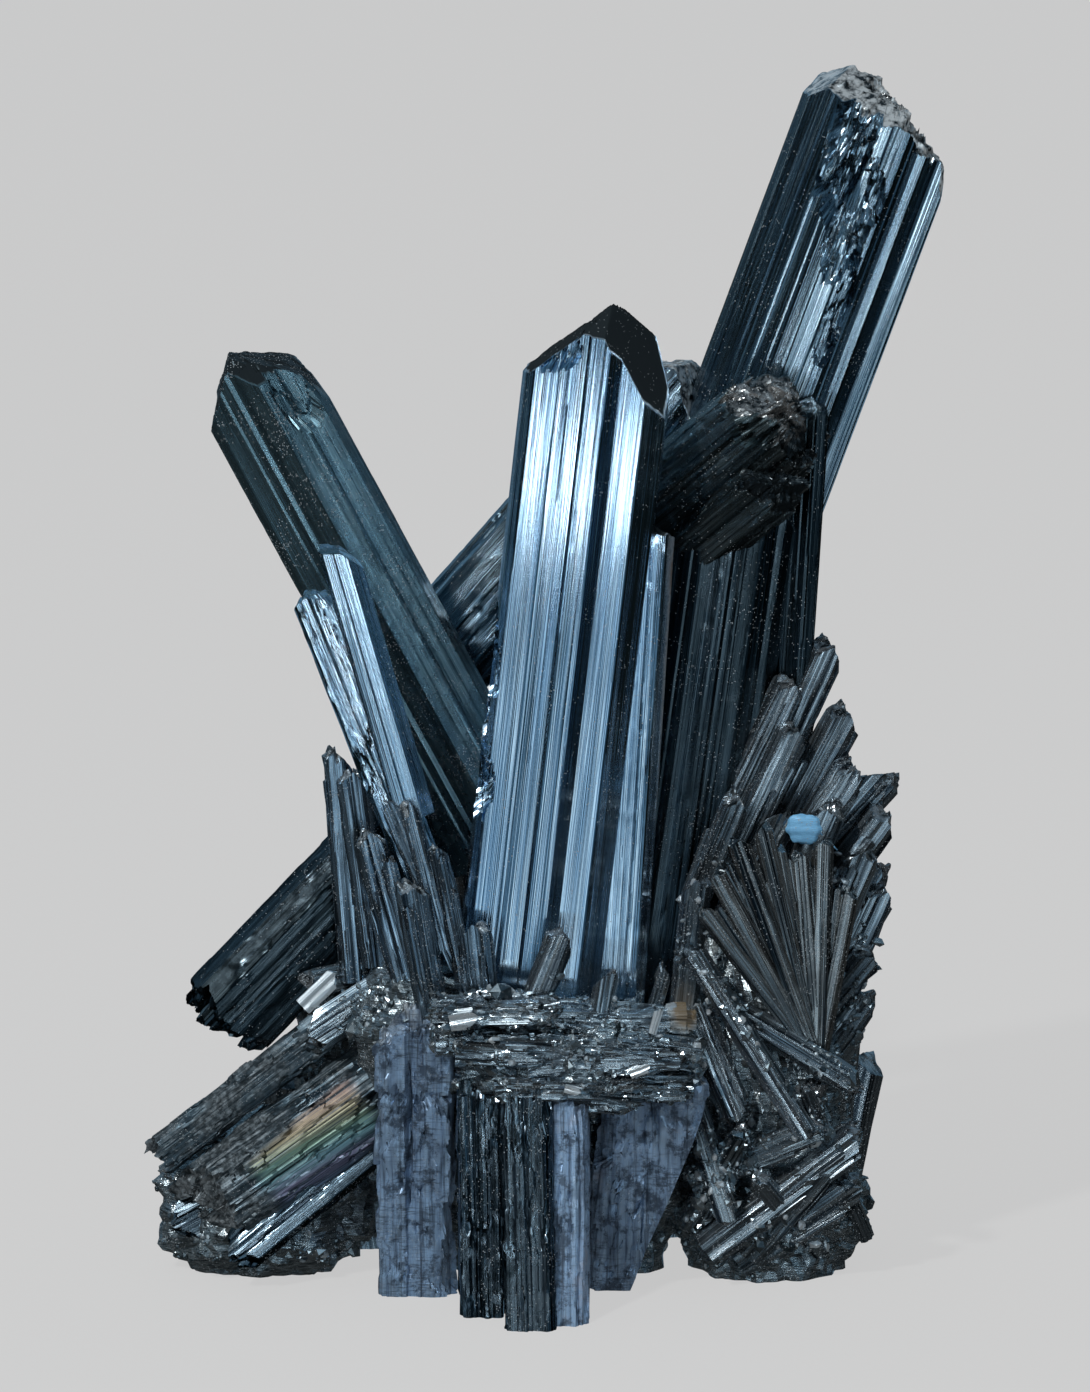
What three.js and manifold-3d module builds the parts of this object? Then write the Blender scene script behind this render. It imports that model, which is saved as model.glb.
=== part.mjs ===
// A cluster of stibnite: tall striated prisms that rise from one root of smaller, intergrown
// crystals and broken crust. Millimetres, +Z up, the face seen in front looks along -Y.
// The specimen is cut off flat where it grew on rock and stands on that cut at z = 0.

import * as THREE from 'three';
import { mergeVertices } from 'three/addons/utils/BufferGeometryUtils.js';
import Module from 'manifold-3d';

const wasm = await Module();
wasm.setup();

// Gap that stands for the grain boundary between two neighbouring crystals.
const GRAIN_GAP = 0.3;
// Height of the flat cut that the specimen rests on.
const CUT_LEVEL = 0;
const BACKWARD = new THREE.Vector3(0, 1, 0);
const FULL_TURN = Math.PI * 2;

// Length added past the tip before its faces are cut, for faces that meet above the tip.
const OVERSHOOT = 12;

// Every tall crystal runs from its root to its tip. Its plan is the outline of its cross-section in
// [right, back] millimetres, with the steps that growth left between its faces. A facet is the
// direction in which a face of the tip looks, as [right, back, up], and how far down the axis from
// the tip its plane crosses.
const CENTRE_PRISM = {
  root: [-6.5, -16, 45.5],
  tip: [11, -14, 201.5],
  plan: [
    [-14.2, -6], [-13.4, -11.6], [-12.2, -13], [-7, -13.4], [-6.6, -13], [-1.5, -13.6], [-1.1, -14.1],
    [4.5, -14.5], [7.1, -11.5], [10.5, -11.4], [10.8, -11.1], [14.2, -11], [15.6, -6], [16.5, 2],
    [11.5, 11], [3, 14], [-4, 13.4], [-5, 12.4], [-11.5, 9.5],
  ],
  facets: [
    { facing: [0, -0.476, 0.879], drop: -1.3 },
    { facing: [-0.656, -0.05, 0.753], drop: 1.8 },
    { facing: [0.78, -0.36, 0.52], drop: -5.7 },
    { facing: [0, 0.6, 0.8], drop: 0.1 },
    { facing: [-0.5, 0.6, 0.62], drop: 4 },
    { facing: [0, 0, 1], drop: -1.2 },
  ],
};

// A narrow crystal grown along the right side of the centre prism, broken off lower down.
const SIDE_CRYSTAL = {
  root: [15.5, -14, 56],
  tip: [21.8, -13, 159],
  plan: [[-5.5, -6], [0.6, -6.2], [1.4, -5.4], [4.3, -3.2], [5, 2], [3, 7], [-5.5, 7]],
  facets: [
    { facing: [0.1, -0.3, 0.95], drop: 1.5 },
    { facing: [0.5, 0.1, 0.86], drop: 2.4 },
  ],
};

const LEFT_PRISM = {
  root: [-8, 2, 86],
  tip: [-63, 6, 188.5],
  plan: [
    [-13, 3], [-12.2, -2.6], [-11, -4.4], [-4, -7.6], [-3.4, -7.4], [1.7, -10.2], [6.6, -8.4], [7, -7.6],
    [11.4, -5.6], [12.9, 0.5], [10, 8], [2.4, 10.6], [1.8, 10], [-7, 10],
  ],
  facets: [
    { facing: [0.62, -0.15, 0.77], drop: -0.3 },
    { facing: [0.85, -0.1, 0.52], drop: -7.2 },
    { facing: [0.978, -0.1, 0.2], drop: -42.9 },
    { facing: [-0.77, -0.1, 0.64], drop: -3.4 },
    { facing: [0.31, -0.75, 0.58], drop: -6 },
    { facing: [0.1, 0.7, 0.7], drop: -3 },
  ],
};

const RIGHT_TALL_PRISM = {
  root: [11.5, 30, 76],
  tip: [73.4, 20, 247],
  plan: [
    [-17.3, 1], [-16.4, -4.6], [-12, -8.4], [-11.6, -8.2], [-8.2, -11.4], [-7.8, -11.2], [-4.2, -14],
    [-2, -14.6], [1.7, -14.6], [2, -14.2], [6, -14.5], [9.1, -10.5], [10.8, -10.7], [13.9, -5.6],
    [17, -5], [17.8, 2], [13, 11], [4, 15.4], [3, 14.6], [-9, 14], [-15, 8],
  ],
  facets: [
    { facing: [-0.75, -0.1, 0.66], drop: -6 },
    { facing: [0.41, -0.1, 0.91], drop: 6.2 },
    { facing: [0.58, 0, 0.82], drop: 6 },
    { facing: [0.9, 0, 0.3], drop: -29 },
    { facing: [-0.1, -0.5, 0.86], drop: 3.4 },
    { facing: [0.1, 0.6, 0.8], drop: 3.9 },
  ],
};

const RIGHT_STUB_PRISM = {
  root: [26, 4, 52],
  tip: [42, 4, 172],
  plan: [
    [-15, -2], [-12.5, -8], [-8, -10.4], [-7.4, -9.8], [-1, -11], [-0.4, -10.2], [5, -10], [8.6, -7],
    [9.6, -7], [14, -1], [13, 8], [3, 12], [-8, 11], [-14, 5],
  ],
  facets: [
    { facing: [0.3, -0.3, 0.9], drop: 4 },
    { facing: [0.8, 0.1, 0.59], drop: 2 },
  ],
};

// A thin crystal that stands against the stub's right side.
const STUB_SIDE_CRYSTAL = {
  root: [52, 4, 112],
  tip: [56, 3, 181],
  plan: [[-5, -3], [-1, -5], [1.8, -4], [2.6, 0], [1.4, 5], [-5, 6]],
  facets: [
    { facing: [0.6, -0.1, 0.79], drop: 2 },
    { facing: [-0.5, -0.3, 0.8], drop: 2 },
  ],
};

const LEANING_PRISM = {
  root: [9.5, 16, 140],
  tip: [49.8, -6, 177.5],
  plan: [
    [-13, 0], [-11.5, -6], [-5.5, -9.5], [-5, -9], [2, -10.5], [6, -7.5], [8.5, -6.8], [12.5, 0],
    [10, 8], [0, 11], [-9, 8.5],
  ],
  facets: [
    { facing: [-0.6, -0.15, 0.78], drop: -6.1 },
    { facing: [0.3, -0.05, 0.95], drop: -2.5 },
    { facing: [0.1, -0.62, 0.78], drop: -8.7 },
  ],
};

// The lower of the two leaning crystals, with a dark five-sided end.
const LEANING_SIDE_CRYSTAL = {
  root: [24, 7, 142],
  tip: [49, -15, 166.5],
  plan: [[-8, 1], [-5.5, -5.5], [3, -6.5], [7.5, -1], [4, 6], [-5, 6.5]],
  facets: [
    { facing: [0.1, -0.25, 0.96], drop: 0.5 },
    { facing: [-0.5, -0.1, 0.86], drop: 0 },
  ],
};

const BACK_PRISM = {
  root: [-32.6, 27, 109],
  tip: [31.3, 26, 182],
  plan: [
    [-12.5, 0], [-10.5, -6.5], [-3, -9.5], [-2.4, -9], [5, -9], [11, -4], [12, 3], [6, 9], [-6, 9.5],
  ],
  facets: [
    { facing: [-0.66, 0, 0.75], drop: -2.6 },
    { facing: [0.5, -0.3, 0.81], drop: 1.3 },
    { facing: [0, 0, 1], drop: -1 },
  ],
};

const LEFT_BRIGHT_PRISM = {
  root: [-27, -27, 98],
  tip: [-42.6, -26, 153],
  plan: [[-3.2, -1], [-2.6, -2.4], [-0.2, -2.9], [0.2, -2.3], [2.6, -2.2], [5.4, 1], [4, 4], [-2.5, 3.4]],
  facets: [
    { facing: [0.3, -0.2, 0.93], drop: 0.2 },
    { facing: [0.8, -0.1, 0.6], drop: -1 },
  ],
};

// The broken blade that backs the bright one on its left, with a ragged edge.
const LEFT_RAGGED_BLADE = {
  root: [-22, -23, 78],
  tip: [-48.5, -20, 145],
  plan: [
    [-4.6, 0], [-3.8, -2.6], [0.5, -3.4], [4.6, -2.6], [5.4, 0.6], [4, 3.6], [-3, 3.4],
  ],
  facets: [
    { facing: [0.45, -0.2, 0.87], drop: 1 },
    { facing: [-0.6, -0.1, 0.79], drop: 0.4 },
  ],
};

const LOWER_LEFT_PRISM = {
  root: [-31, 0, 90],
  tip: [-70, -6, 50],
  plan: [
    [-12.6, 0], [-11, -5], [-3, -8], [-2.6, -7.4], [3, -8], [7.6, -5.6], [9.8, 0.6], [6, 8], [-8, 8],
  ],
  facets: [
    { facing: [-0.2, -0.1, 0.96], drop: 0.6 },
    { facing: [0.5, -0.35, 0.79], drop: -1.4 },
    { facing: [-0.6, -0.4, 0.7], drop: -6 },
  ],
};

const IRIDESCENT_PRISM = {
  root: [-26, -13, 44],
  tip: [-72, -23, 13],
  plan: [
    [-12, 1], [-10.4, -7.4], [-4, -10], [-3.6, -9.4], [3, -10], [3.4, -9.2], [8.4, -7.6], [11.6, -0.6],
    [8, 9], [-7, 9.6],
  ],
  facets: [
    { facing: [-0.2, -0.2, 0.96], drop: 1 },
    { facing: [0.3, -0.5, 0.81], drop: 0 },
  ],
};

// The thin dark crystal that lies along the upper side of the iridescent one.
const IRIDESCENT_SIDE_CRYSTAL = {
  root: [-38, -13, 56],
  tip: [-81.5, -19, 23],
  plan: [[-4.2, 0], [-3, -4], [2.5, -4.6], [5.5, -1], [4.5, 5], [-3, 4.6]],
  facets: [
    { facing: [0.1, -0.2, 0.97], drop: 1 },
    { facing: [-0.6, -0.1, 0.79], drop: 0 },
  ],
};

const LEFT_PLATE = {
  root: [-26.6, -27.5, -8],
  tip: [-26.8, -35, 61],
  plan: [
    [-8.4, -2], [-7.6, -4], [-2, -4.8], [-1.4, -4.2], [3.4, -4.6], [8, -4], [9.4, -1], [8, 5], [-7, 5],
  ],
  facets: [
    { facing: [0.15, -0.2, 0.96], drop: 0.6 },
    { facing: [-0.5, -0.2, 0.84], drop: 0 },
  ],
};

// The blades in front are broken off at different depths, so that they stand like stairs.
const FRONT_BLADES = [
  {
    root: [-12.4, -47, -8],
    tip: [-13.5, -39, 47],
    plan: [[-5.4, 0], [-4.6, -3.2], [1, -4], [4.8, -3], [5.4, 2], [3, 7], [-4.4, 7]],
    facets: [{ facing: [0.1, -0.3, 0.95], drop: 0.5 }],
  },
  {
    root: [-2.5, -58.5, -8],
    tip: [-4, -42, 48],
    plan: [[-6, 0], [-5.2, -3], [-1, -3.8], [-0.6, -3.2], [3.8, -3.6], [6, -1], [5.6, 7], [-5.4, 7]],
    facets: [{ facing: [-0.1, -0.3, 0.95], drop: 0.5 }],
  },
  {
    root: [4.6, -54, -8],
    tip: [4.6, -40, 46],
    plan: [[-4.4, 0], [-3.4, -3.6], [2.4, -4], [5, -1], [4.6, 7], [-4, 7]],
    facets: [{ facing: [0.1, -0.35, 0.93], drop: 0.5 }],
  },
];

const RIGHT_PLATE = {
  root: [18.2, -22, -8],
  tip: [21.6, -37.5, 52],
  plan: [
    [-11.4, -1], [-10, -3.6], [-3, -4.4], [3.6, -4], [10.6, -4.2], [12.8, -1], [11, 5], [-9, 6],
  ],
  facets: [
    { facing: [-0.45, -0.25, 0.86], drop: 1.5 },
    { facing: [0.3, -0.2, 0.93], drop: 1 },
    { facing: [0.957, 0, -0.29], drop: 48.9 },
  ],
};

// Needles of the right-hand fan: they spread from one point, and each is given by its tip, width and
// thickness.
const FAN_ROOT = [55.5, -21, 47];
const FAN_NEEDLES = [
  { tip: [31.5, -27, 80], width: 4.6, thickness: 4 },
  { tip: [34, -27, 88], width: 5, thickness: 4.4 },
  { tip: [38.6, -27, 94.5], width: 5.4, thickness: 4.6 },
  { tip: [43.6, -26, 97], width: 4.6, thickness: 4.6 },
  { tip: [47, -24, 92], width: 3.8, thickness: 4 },
  { tip: [51.5, -23, 91], width: 4.6, thickness: 4.6 },
  { tip: [56.4, -21, 93], width: 5, thickness: 5 },
  { tip: [62, -19, 82], width: 4.6, thickness: 4.6 },
];

// Smaller crystals of the root, each from its root to its tip with its width and thickness.
const ROOT_CRYSTALS = [
  // Behind and above the fan they lean up to the right.
  { root: [39, 4, 84], tip: [59, 2, 130], width: 9, thickness: 9 },
  { root: [33, -2, 84], tip: [51.4, -3, 124], width: 8, thickness: 8 },
  { root: [44, 0, 80], tip: [63, -2, 117.5], width: 9.5, thickness: 9 },
  { root: [48, 2, 76], tip: [71.4, 0, 103.5], width: 10, thickness: 9 },
  { root: [52, -4, 70], tip: [71.4, -6, 97], width: 9, thickness: 8 },
  { root: [55, -1, 62], tip: [69, -5, 86], width: 9, thickness: 8 },
  { root: [54, -8, 50], tip: [67.6, -12, 68], width: 8, thickness: 7 },
  { root: [30, -12, 76], tip: [40, -16, 102], width: 7, thickness: 6 },
  { root: [32, 0, 88], tip: [47, 2, 119.5], width: 8, thickness: 8 },
  { root: [46, -6, 78], tip: [64.5, -7, 107], width: 9, thickness: 8 },
  { root: [36, -8, 80], tip: [52, -8, 115], width: 8, thickness: 7 },
  { root: [57, -6, 52], tip: [70, -8, 82], width: 8, thickness: 8 },
  { root: [36, -12, 70], tip: [49, -14, 98], width: 8, thickness: 7 },
  { root: [44, -12, 64], tip: [59, -14, 100], width: 9, thickness: 7 },
  { root: [52, -12, 56], tip: [66, -14, 90], width: 8, thickness: 7 },
  { root: [28, -20, 56], tip: [31, -24, 86], width: 7, thickness: 6 },
  { root: [54, -8, 40], tip: [67, -10, 60], width: 9, thickness: 8 },
  // Below the fan they cross one another.
  { root: [30, -26, 70], tip: [54, -33, 32], width: 6, thickness: 5 },
  { root: [34, -22, 60], tip: [66, -26, 41], width: 7, thickness: 6 },
  { root: [33, -26, 8], tip: [65, -25, 33], width: 9, thickness: 8 },
  { root: [30, -24, 22], tip: [58, -31, 36], width: 7, thickness: 6 },
  { root: [40, -20, 4], tip: [66, -22, 22], width: 9, thickness: 8 },
  { root: [56, -17, 6], tip: [42, -32, 26], width: 6, thickness: 6 },
  { root: [66, -14, 8], tip: [52, -30, 44], width: 5, thickness: 5 },
  { root: [28, -22, 44], tip: [38, -34, 14], width: 6, thickness: 5 },
  { root: [30, -22, 58], tip: [40, -28, 34], width: 8, thickness: 6 },
  { root: [30, -22, 12], tip: [42, -31, 36], width: 7, thickness: 6 },
  { root: [42, -22, 6], tip: [58, -27, 26], width: 7, thickness: 6 },
  // Splinters and plates between the left-hand prisms and the centre one.
  { root: [-17, -28, 68], tip: [-32.4, -28, 105], width: 6, thickness: 5 },
  { root: [-20, -30, 72], tip: [-28, -31, 104], width: 5, thickness: 4 },
  { root: [-16, -32, 66], tip: [-22, -34, 96], width: 5, thickness: 4 },
  { root: [-26, -26, 58], tip: [-36, -27, 97], width: 8, thickness: 6 },
  { root: [-22, -32, 56], tip: [-27, -35, 88], width: 8, thickness: 5 },
  { root: [-12, -34, 56], tip: [-14.6, -36, 80], width: 8, thickness: 5 },
  { root: [-39, -14, 62], tip: [-42.6, -16, 112], width: 7, thickness: 7 },
  { root: [-34, -18, 66], tip: [-39.6, -19, 109], width: 8, thickness: 6 },
  // Broken bars that make the ledge below the centre prism.
  { root: [-22, -38, 61], tip: [5, -42, 62], width: 9, thickness: 12 },
  { root: [-18, -40, 54], tip: [31, -39, 52], width: 11, thickness: 14 },
  { root: [-8, -42, 46], tip: [33, -39, 45], width: 9, thickness: 12 },
  { root: [28, -33, 58], tip: [-2, -37, 60], width: 9, thickness: 11 },
  { root: [-8, -38, 62], tip: [-21.6, -48, 63.4], width: 6, thickness: 6 },
  // The small dark pyramid in front of the centre prism, and slivers beside it.
  { root: [-3, -38, 60], tip: [4.2, -36, 77.5], width: 7, thickness: 6 },
  { root: [20, -32, 52], tip: [24.6, -35, 70], width: 4, thickness: 3 },
  { root: [10, -36, 50], tip: [13, -37, 70], width: 6, thickness: 4 },
  // Crust and stubs among the lower left-hand prisms.
  { root: [-36, -8, 62], tip: [-51, -14, 60], width: 8, thickness: 6 },
  { root: [-34, -16, 60], tip: [-50, -20, 50], width: 9, thickness: 7 },
  { root: [-30, -18, 34], tip: [-66, -28, 6], width: 12, thickness: 9 },
  { root: [-36, -8, 30], tip: [-79, -16, 9], width: 14, thickness: 10 },
];

// Stout crystals that make the back and stand on the flat cut.
const BACK_CRYSTALS = [
  { root: [-13, 24, -8], tip: [-29, 29, 103], width: 26, thickness: 20 },
  { root: [7, 28, -8], tip: [-3, 36, 92], width: 24, thickness: 20 },
  { root: [25, 24, -8], tip: [31, 33, 84], width: 26, thickness: 20 },
  { root: [40, 12, -8], tip: [49, 17, 96], width: 24, thickness: 20 },
  { root: [52, 2, -8], tip: [58, 5, 64], width: 20, thickness: 20 },
  { root: [-33, 14, -8], tip: [-45, 21, 76], width: 24, thickness: 19 },
  { root: [-50, 6, -8], tip: [-60, 10, 40], width: 22, thickness: 18 },
  { root: [-4, 39, -8], tip: [-14, 52, 60], width: 19, thickness: 12 },
  { root: [19, 40, -8], tip: [21, 53, 50], width: 19, thickness: 13 },
  { root: [-26, 31, -8], tip: [-42, 40, 52], width: 17, thickness: 13 },
  { root: [38, 28, -8], tip: [50, 38, 54], width: 18, thickness: 13 },
  { root: [56, 12, -8], tip: [66, 20, 40], width: 14, thickness: 12 },
];

// Sprays break up the sides and the back with crystals that point away from a common centre.
const SPRAYS = [
  { from: [-12, 22, 44], towards: [-0.3, 0.9, 0.5], spread: 0.7, count: 2, length: [26, 34], width: [8, 12] },
  { from: [20, 24, 38], towards: [0.3, 0.9, 0.4], spread: 0.7, count: 2, length: [26, 32], width: [8, 12] },
  { from: [46, -8, 32], towards: [0.4, -0.8, 0], spread: 0.9, count: 4, length: [18, 22], width: [5, 7] },
];

// Lumps of crust that hold the root together, as a middle, three radii and a roughness.
const LUMPS = [
  { middle: [2, -4, 24], radii: [32, 26, 38], rough: 0.1 },
  { middle: [44, -4, 40], radii: [20, 20, 44], rough: 0.1 },
  { middle: [46, -6, 14], radii: [22, 21, 24], rough: 0.12 },
  { middle: [-58, -6, 13], radii: [24, 18, 21], rough: 0.12 },
  { middle: [-34, 2, 40], radii: [19, 18, 38], rough: 0.1 },
  { middle: [5, -32, 50], radii: [29, 12, 13], rough: 0.1 },
  { middle: [-24, -18, 54], radii: [17, 16, 18], rough: 0.12 },
];
const LUMP_DETAIL = 1;

const COLOURS = {
  bright: '#6d86a0',
  steel: '#3f556b',
  dark: '#1c2a38',
  crust: '#2d3338',
  tarnished: '#6b6a4c',
};

function vector([x, y, z]) {
  return new THREE.Vector3(x, y, z);
}

// A repeatable run of numbers from 0 to 1.
function randomNumbers(seed) {
  const multiplier = 1664525;
  const increment = 1013904223;
  const range = 2 ** 32;
  let state = seed;
  return () => {
    state = (Math.imul(state, multiplier) + increment) >>> 0;
    return state / range;
  };
}

function solidFrom(geometry) {
  const plain = geometry.clone();
  plain.deleteAttribute('normal');
  plain.deleteAttribute('uv');
  const merged = mergeVertices(plain);
  return new wasm.Manifold(new wasm.Mesh({
    numProp: 3,
    vertProperties: Float32Array.from(merged.attributes.position.array),
    triVerts: Uint32Array.from(merged.index.array),
  }));
}

function geometryFrom(solid) {
  const mesh = solid.getMesh();
  const geometry = new THREE.BufferGeometry();
  geometry.setAttribute('position', new THREE.BufferAttribute(mesh.vertProperties, 3));
  geometry.setIndex(new THREE.BufferAttribute(mesh.triVerts, 1));
  const faceted = geometry.toNonIndexed();
  faceted.computeVertexNormals();
  return faceted;
}

// The crystal's own directions: right, back and up along its axis.
function directions(crystal) {
  const up = vector(crystal.tip).sub(vector(crystal.root)).normalize();
  const back = BACKWARD.clone().addScaledVector(up, -BACKWARD.dot(up)).normalize();
  const right = new THREE.Vector3().crossVectors(back, up);
  return { right, back, up };
}

function column(crystal, plan, below) {
  const { right, back, up } = directions(crystal);
  const start = vector(crystal.root).addScaledVector(up, -below);
  const length = below + vector(crystal.tip).distanceTo(vector(crystal.root)) + OVERSHOOT;
  const shape = new THREE.Shape(plan.map(([x, y]) => new THREE.Vector2(x, y)));
  const geometry = new THREE.ExtrudeGeometry(shape, { depth: length, bevelEnabled: false });
  geometry.applyMatrix4(new THREE.Matrix4().makeBasis(right, back, up).setPosition(start));
  return solidFrom(geometry);
}

// Keeps what lies under a facet that looks in the given direction.
function cutFacet(body, crystal, { facing, drop }, margin) {
  const { right, back, up } = directions(crystal);
  const normal = new THREE.Vector3()
    .addScaledVector(right, facing[0])
    .addScaledVector(back, facing[1])
    .addScaledVector(up, facing[2])
    .normalize();
  const point = vector(crystal.tip).addScaledVector(up, -drop).addScaledVector(normal, margin);
  return body.trimByPlane(normal.clone().negate().toArray(), -normal.dot(point));
}

function prism(crystal) {
  const whole = column(crystal, crystal.plan, 0);
  return crystal.facets.reduce((body, facet) => cutFacet(body, crystal, facet, 0), whole);
}

function convexOutline(points) {
  const sorted = [...points].sort((a, b) => a[0] - b[0] || a[1] - b[1]);
  const turnsRight = (a, b, c) => (b[0] - a[0]) * (c[1] - a[1]) - (b[1] - a[1]) * (c[0] - a[0]) <= 0;
  const chain = (list) => {
    const kept = [];
    for (const point of list) {
      while (kept.length > 1 && turnsRight(kept[kept.length - 2], kept[kept.length - 1], point)) {
        kept.pop();
      }
      kept.push(point);
    }
    kept.pop();
    return kept;
  };
  return [...chain(sorted), ...chain(sorted.reverse())];
}

// The room that a crystal takes up in its neighbours: the crystal, grown by the grain gap all round.
function socket(crystal) {
  const around = 8;
  const reach = GRAIN_GAP / Math.cos(Math.PI / around);
  const grown = [];
  for (const [x, y] of crystal.plan) {
    for (let step = 0; step < around; step += 1) {
      const angle = (FULL_TURN * step) / around;
      grown.push([x + reach * Math.cos(angle), y + reach * Math.sin(angle)]);
    }
  }
  const whole = column(crystal, convexOutline(grown), GRAIN_GAP);
  return crystal.facets.reduce((body, facet) => cutFacet(body, crystal, facet, GRAIN_GAP), whole);
}

// A small blade: six faces of uneven width, and two faces at the tip.
function blade({ root, tip, width, thickness }, random) {
  const uneven = (value) => value * (0.86 + 0.28 * random());
  const halfWidth = width / 2;
  const halfThickness = thickness / 2;
  const plan = [
    [-halfWidth, uneven(0.2 * halfThickness)],
    [uneven(-0.6 * halfWidth), -halfThickness],
    [uneven(0.5 * halfWidth), uneven(-0.9 * halfThickness)],
    [halfWidth, uneven(-0.2 * halfThickness)],
    [uneven(0.6 * halfWidth), halfThickness],
    [uneven(-0.5 * halfWidth), uneven(0.9 * halfThickness)],
  ];
  const side = random() < 0.5 ? -1 : 1;
  const facets = [
    { facing: [side * uneven(0.5), uneven(-0.3), 0.8], drop: 0 },
    { facing: [-side * uneven(0.7), uneven(0.2), 0.7], drop: 0.1 * width },
  ];
  return { root, tip, plan, facets };
}

function sprayBlades({ from, towards, spread, count, length, width }, random) {
  const blades = [];
  const between = ([low, high]) => low + (high - low) * random();
  for (let index = 0; index < count; index += 1) {
    const turn = FULL_TURN * random();
    const lean = spread * Math.sqrt(random());
    const main = vector(towards).normalize();
    const side = new THREE.Vector3(0, 0, 1).cross(main).normalize();
    const over = new THREE.Vector3().crossVectors(main, side);
    const way = main.multiplyScalar(Math.cos(lean))
      .addScaledVector(side, Math.sin(lean) * Math.cos(turn))
      .addScaledVector(over, Math.sin(lean) * Math.sin(turn));
    const tip = vector(from).addScaledVector(way, between(length));
    const across = between(width);
    blades.push(blade({ root: from, tip: tip.toArray(), width: across, thickness: 0.8 * across }, random));
  }
  return blades;
}

function lump({ middle, radii, rough }) {
  const geometry = new THREE.IcosahedronGeometry(1, LUMP_DETAIL);
  const points = geometry.attributes.position;
  for (let index = 0; index < points.count; index += 1) {
    const point = new THREE.Vector3().fromBufferAttribute(points, index);
    const bump = Math.sin(7 * point.x + middle[0]) * Math.sin(6 * point.y + middle[2])
      + Math.sin(9 * point.z + middle[0]);
    point.multiplyScalar(1 + rough * 0.5 * bump);
    points.setXYZ(
      index,
      middle[0] + radii[0] * point.x,
      middle[1] + radii[1] * point.y,
      middle[2] + radii[2] * point.z,
    );
  }
  return solidFrom(geometry);
}

function joined(solids) {
  return solids.reduce((whole, next) => whole.add(next));
}

function largestBody(solid) {
  return solid.decompose().sort((a, b) => b.volume() - a.volume())[0];
}

const sockets = [];

// Cuts a piece by the crystals that were there before it, and by the flat cut below.
function fitted(solid) {
  const freed = sockets.reduce((body, room) => body.subtract(room), solid);
  return largestBody(freed.trimByPlane([0, 0, 1], CUT_LEVEL));
}

const specimen = new THREE.Group();

function addPiece(name, solid, colour, roughness) {
  const material = new THREE.MeshStandardMaterial({ color: colour, roughness, metalness: 0.9 });
  const mesh = new THREE.Mesh(geometryFrom(fitted(solid)), material);
  mesh.name = name;
  specimen.add(mesh);
}

function addCrystals(name, crystals, colour, roughness) {
  addPiece(name, joined(crystals.map(prism)), colour, roughness);
  sockets.push(...crystals.map(socket));
}

addCrystals('centre_prism', [CENTRE_PRISM, SIDE_CRYSTAL], COLOURS.bright, 0.3);
addCrystals('left_prism', [LEFT_PRISM], COLOURS.steel, 0.4);
addCrystals('right_tall_prism', [RIGHT_TALL_PRISM], COLOURS.steel, 0.35);
addCrystals('leaning_prism', [LEANING_PRISM, LEANING_SIDE_CRYSTAL], COLOURS.dark, 0.4);
addCrystals('right_stub_prism', [RIGHT_STUB_PRISM, STUB_SIDE_CRYSTAL], COLOURS.dark, 0.35);
addCrystals('back_prism', [BACK_PRISM], COLOURS.dark, 0.45);
addCrystals('left_small_prisms', [LEFT_BRIGHT_PRISM, LEFT_RAGGED_BLADE], COLOURS.bright, 0.35);
addCrystals('lower_left_prism', [LOWER_LEFT_PRISM], COLOURS.dark, 0.4);
addCrystals('iridescent_prism', [IRIDESCENT_PRISM, IRIDESCENT_SIDE_CRYSTAL], COLOURS.tarnished, 0.4);
addCrystals('front_blades', FRONT_BLADES, COLOURS.steel, 0.4);
addCrystals('left_plate', [LEFT_PLATE], COLOURS.steel, 0.45);
addCrystals('right_plate', [RIGHT_PLATE], COLOURS.steel, 0.45);

const random = randomNumbers(2026);
const needles = FAN_NEEDLES.map((needle) => blade({ root: FAN_ROOT, ...needle }, random));
addCrystals('needle_fan', needles, COLOURS.dark, 0.4);

const rootCrystals = [
  ...ROOT_CRYSTALS.map((crystal) => blade(crystal, random)),
  ...BACK_CRYSTALS.map((crystal) => blade(crystal, random)),
  ...SPRAYS.flatMap((spray) => sprayBlades(spray, random)),
];
addPiece('root_cluster', joined([...LUMPS.map(lump), ...rootCrystals.map(prism)]), COLOURS.crust, 0.6);

export default specimen;
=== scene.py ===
import itertools
import math

import bmesh
import bpy
from mathutils import Matrix, Vector
from mathutils import noise as rough_noise


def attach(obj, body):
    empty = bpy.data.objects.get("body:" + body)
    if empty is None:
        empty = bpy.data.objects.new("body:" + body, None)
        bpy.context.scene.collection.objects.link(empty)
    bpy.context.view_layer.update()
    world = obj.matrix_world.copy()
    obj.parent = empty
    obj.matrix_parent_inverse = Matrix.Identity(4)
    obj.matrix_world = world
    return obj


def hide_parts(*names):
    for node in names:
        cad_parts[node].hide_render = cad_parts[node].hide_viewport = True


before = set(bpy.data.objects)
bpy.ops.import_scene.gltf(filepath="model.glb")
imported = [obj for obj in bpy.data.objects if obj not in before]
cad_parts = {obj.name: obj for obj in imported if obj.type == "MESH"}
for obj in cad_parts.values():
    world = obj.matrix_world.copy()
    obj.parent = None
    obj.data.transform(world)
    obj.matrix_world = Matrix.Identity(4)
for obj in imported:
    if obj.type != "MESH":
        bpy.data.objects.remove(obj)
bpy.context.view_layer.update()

MM = 0.001
FULL_TURN = 2 * math.pi
FLOOR_CUT = (Vector((0, 0, 0)), Vector((0, 0, -1)))

# The camera stands in front of the cluster, ten degrees above it.
CAMERA_PLACE = Vector((0, -1.3787, 0.3615))
CAMERA_ELEVATION = 10
CAMERA_LENS = 176.6
SENSOR_WIDTH = 36


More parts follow.
